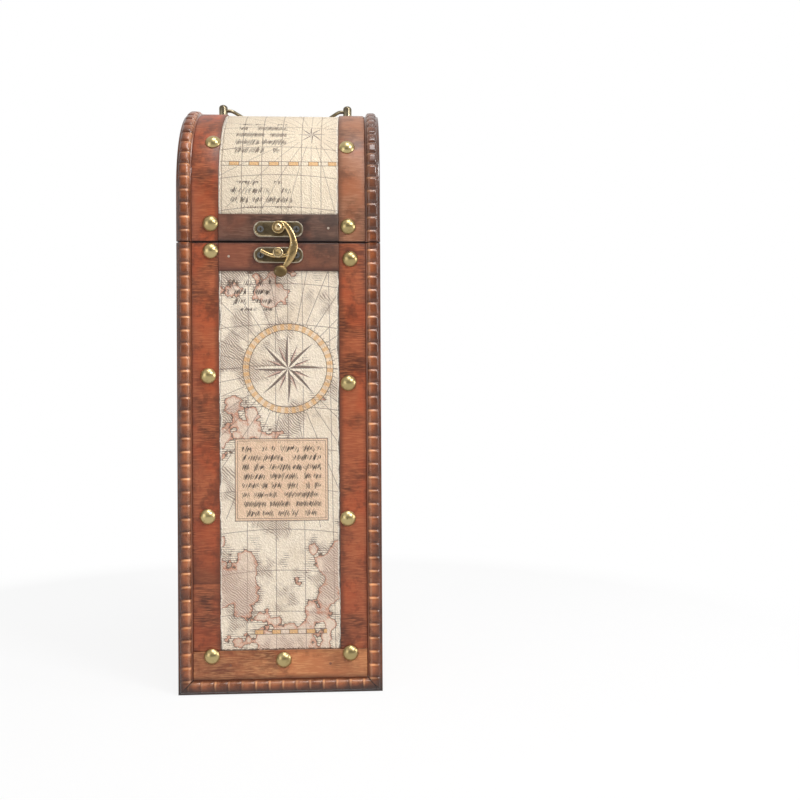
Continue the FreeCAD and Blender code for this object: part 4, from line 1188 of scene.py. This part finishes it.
EYE_RADIUS = 0.0037
EYE_ROUND = 0.0005
eye = turned("hook_eye", pivot, hook_front, hook_back, EYE_RADIUS, EYE_ROUND)

THUMB_RADIUS = 0.004
THUMB_SHAPE = (1.0, 0.375, 0.86)
THUMB_MIDDLE = (1.2, -25.7)
choose()
bpy.ops.mesh.primitive_uv_sphere_add(segments=48, ring_count=24, radius=THUMB_RADIUS, calc_uvs=False,
                                     location=from_pivot(*THUMB_MIDDLE))
bpy.context.object.scale = THUMB_SHAPE
thumb = settled("hook_thumb")
thumb_depth = hook_low.y + THUMB_RADIUS * THUMB_SHAPE[1]
thumb.data.transform(Matrix.Translation((0, thumb_depth - hook_middle, 0)))

CASTING_GRAIN = 0.00015
hook = joined([arm, prong, eye, thumb])
hook_pattern = own_copy(hook, "hook_pattern")
casting = hook.modifiers.new("One casting", "REMESH")
casting.mode = "VOXEL"
casting.voxel_size = CASTING_GRAIN
true_face = hook.modifiers.new("True to the pattern", "SHRINKWRAP")
true_face.target = hook_pattern
true_face.wrap_method = "NEAREST_SURFACEPOINT"
fairing = hook.modifiers.new("Tumbled smooth", "SMOOTH")
fairing.iterations = 5
apply_all(hook)
bpy.data.objects.remove(hook_pattern)
smooth(hook)
fit(hook, latch_bronze, "hook", "latch_bronze", "latch_hook")

stamped_plate("latch_plate", "lid")
RIVET_ROUND = 0.0019
rivet_radius = (rivet_high.x - rivet_low.x) / 2
rivet_head = turned("latch_rivet_head", pivot, rivet_low.y, rivet_high.y, rivet_radius, RIVET_ROUND)
smooth(rivet_head)
fit(rivet_head, latch_bronze, "lid", "latch_bronze", "latch_rivet")


# Carrying handle
# A bow of bronze wire that turns in two round-topped posts. The posts stand on small collars and
# are bolted through the dome; at rest the bow lies back on the print.
HANDLE_TONES = paint(160, 149, 124), paint(82, 72, 56), paint(44, 38, 32)
NUT_STEEL = paint(158, 160, 160), paint(96, 97, 97)
handle_bronze = aged_bronze("handle_bronze", *HANDLE_TONES, roughness=0.3)
dress(("handle_post_nuts",), brass("nut_steel", *NUT_STEEL, spots=0.45, roughness=0.34))
COLLAR_RADIUS = 0.0034
COLLAR_HIGH = 0.0009
COLLAR_SUNK = 0.0004
COLLAR_ROUND = 0.0004
STEM_RADIUS = 0.0028
STEM_ROUND = 0.0021
SHANK_RADIUS = 0.0015
SHANK_ROUND = 0.0002


def handle_post(node):
    """A shank through the dome, a collar on the wood strip and a round-topped stem."""
    low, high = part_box(node)
    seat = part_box("lid_left_strip")[1].z
    middle_x = (low.x + high.x) / 2
    post_parts = []
    for radius, bottom, top, round_edge in (
        (COLLAR_RADIUS, seat - COLLAR_SUNK, seat + COLLAR_HIGH, COLLAR_ROUND),
        (STEM_RADIUS, seat, high.z, STEM_ROUND),
        (SHANK_RADIUS, low.z, seat, SHANK_ROUND),
    ):
        choose()
        bpy.ops.mesh.primitive_cylinder_add(vertices=48, radius=radius, depth=top - bottom,
                                            location=(middle_x, 0, (top + bottom) / 2), calc_uvs=False)
        solid = settled(f"{node}_turned")
        pick(solid, "polygons", lambda face: face.normal.z > 0.99)
        bpy.ops.mesh.bevel(offset=round_edge, segments=8, affect="EDGES")
        leave_edit()
        post_parts.append(solid)
    fit(joined(post_parts), handle_bronze, "lid", "handle_bronze", node)


for side in ("left", "right"):
    handle_post(f"{side}_handle_post")

EYE_HEIGHT = 0.36
BOW_DIP = math.radians(22.9)
HALF_BOW = ((42.4, 0), (37.0, 0), (34.6, 0.2), (31.4, 3.2), (25.6, 9.0), (17.0, 15.2), (7.0, 18.9))
BOW_RADIUS = 0.0011


def on_bow(side, sideways, reach):
    """A point of the bow, in millimetres along the pivot line and out from it."""
    back = reach * math.cos(BOW_DIP)
    down = reach * math.sin(BOW_DIP)
    return side * sideways / 1000, back / 1000, EYE_HEIGHT - down / 1000


bow_line = [on_bow(-1, *spot) for spot in HALF_BOW]
bow_line += [on_bow(1, *spot) for spot in reversed(HALF_BOW)]
bail = tapered_wire("bail_wire", bow_line, [BOW_RADIUS] * len(bow_line), sides=4)
smooth(bail)
fit(bail, handle_bronze, "handle", "handle_bronze", "bail_handle")


# Floor, light and camera
# A white table that runs on into a white backdrop, a soft lamp at the upper right, others above and at
# the right, a weak one at the left, and a camera at the height of the middle of the box.
def ray(finish, kind):
    """1 for light rays of one kind and 0 for the rest."""
    return finish.node("ShaderNodeLightPath", {}, kind)


class Stage(Finish):
    """The table: real light and shade near the box, plain white where it runs into the backdrop."""

    def white_out(self, near_share):
        """Show plain white, in the given share near the box and wholly far from it."""
        seen = ray(self, "Is Camera Ray")
        for kind in ("Is Glossy Ray", "Is Transmission Ray"):
            seen = self.math("MAXIMUM", seen, ray(self, kind))
        place = self.split(self.place())
        away = self.math("SQRT", place[0] * place[0] + place[1] * place[1])
        share = self.math("MAXIMUM", self.rise(away, 0.08, 0.45), near_share)
        glow = self.node("ShaderNodeEmission", {})
        lit = Field(self, self.shader.outputs[0])
        whole = self.node("ShaderNodeMixShader", {0: seen * share, 1: lit, 2: glow})
        self.feed(self.tree.nodes["Material Output"].inputs["Surface"], whole)


TABLE_WHITE = paint(244, 244, 244), paint(250, 250, 250)
choose()
bpy.ops.mesh.primitive_plane_add(size=12)
floor = bpy.context.object
floor.name = "floor"
table = Stage("white_table")
speckle = table.noise(table.place(), 30, 2)
table.shade({"Base Color": table.mix(speckle, *TABLE_WHITE), "Roughness": 0.9})
table.white_out(near_share=0.87)
floor.data.materials.append(table.material)


class Studio(Finish):
    """The room: a white backdrop behind the box and a pale ceiling, dimmer on the camera's side."""

    def __init__(self, name):
        world = bpy.data.worlds.new(name)
        world.use_nodes = True
        bpy.context.scene.world = world
        self.tree = world.node_tree

    def light(self, ambient):
        """A given strength of light on the box; the backdrop and what mirrors it are plain white."""
        mirrored = ray(self, "Is Glossy Ray") + ray(self, "Is Transmission Ray")
        direction = self.split(self.node("ShaderNodeTexCoord", {}, "Generated"))
        behind = self.rise(direction[1], -0.2, 0.3)
        overhead = self.rise(direction[2], 0.3, 0.7) * 0.75
        reflected = mirrored * self.math("MAXIMUM", behind, overhead)
        shown = self.math("MAXIMUM", reflected, ray(self, "Is Camera Ray"))
        room = self.node("ShaderNodeBackground", {"Color": (1, 1, 1), "Strength": ambient})
        backdrop = self.node("ShaderNodeBackground", {"Color": (1, 1, 1), "Strength": 1.0})
        whole = self.node("ShaderNodeMixShader", {0: shown, 1: room, 2: backdrop})
        self.feed(self.tree.nodes["World Output"].inputs["Surface"], whole)


Studio("studio").light(ambient=0.25)


def soft_lamp(name, place, aim, wide, power):
    """A square soft lamp that faces a point of the box."""
    choose()
    bpy.ops.object.light_add(type="AREA", location=place)
    lamp = bpy.context.object
    lamp.name = name
    lamp.data.size = wide
    lamp.data.energy = power
    toward = Vector(aim) - Vector(place)
    lamp.rotation_euler = toward.to_track_quat("-Z", "Y").to_euler()


BOX_MIDDLE = (0, 0, 0.18)
soft_lamp("key_lamp", (0.75, -0.75, 0.95), BOX_MIDDLE, wide=0.3, power=8.0)
soft_lamp("top_lamp", (0.15, -0.5, 1.35), BOX_MIDDLE, wide=0.5, power=7.0)
soft_lamp("right_lamp", (1.1, -0.25, 0.35), BOX_MIDDLE, wide=0.4, power=3.4)
soft_lamp("fill_lamp", (-0.9, -0.9, 0.4), BOX_MIDDLE, wide=0.7, power=3.2)

CAMERA_PLACE = (0.0435, -0.5831, 0.16936)
CAMERA_TURN = 2.96
CAMERA_TILT = 0.203
CAMERA_ROLL = -0.329
FOCAL_PIXELS = 890
IMAGE_PIXELS = 800
SENSOR_WIDE = 36
choose()
bpy.ops.object.camera_add(location=CAMERA_PLACE)
camera = bpy.context.object
camera.data.sensor_width = SENSOR_WIDE
camera.data.lens = SENSOR_WIDE * FOCAL_PIXELS / IMAGE_PIXELS
camera.data.clip_start = 0.01
level = Euler((math.radians(90 + CAMERA_TILT), 0, math.radians(-CAMERA_TURN))).to_matrix()
camera.rotation_euler = (level @ Matrix.Rotation(math.radians(CAMERA_ROLL), 3, "Z")).to_euler()
bpy.context.scene.camera = camera
bpy.context.scene.view_settings.view_transform = "Standard"
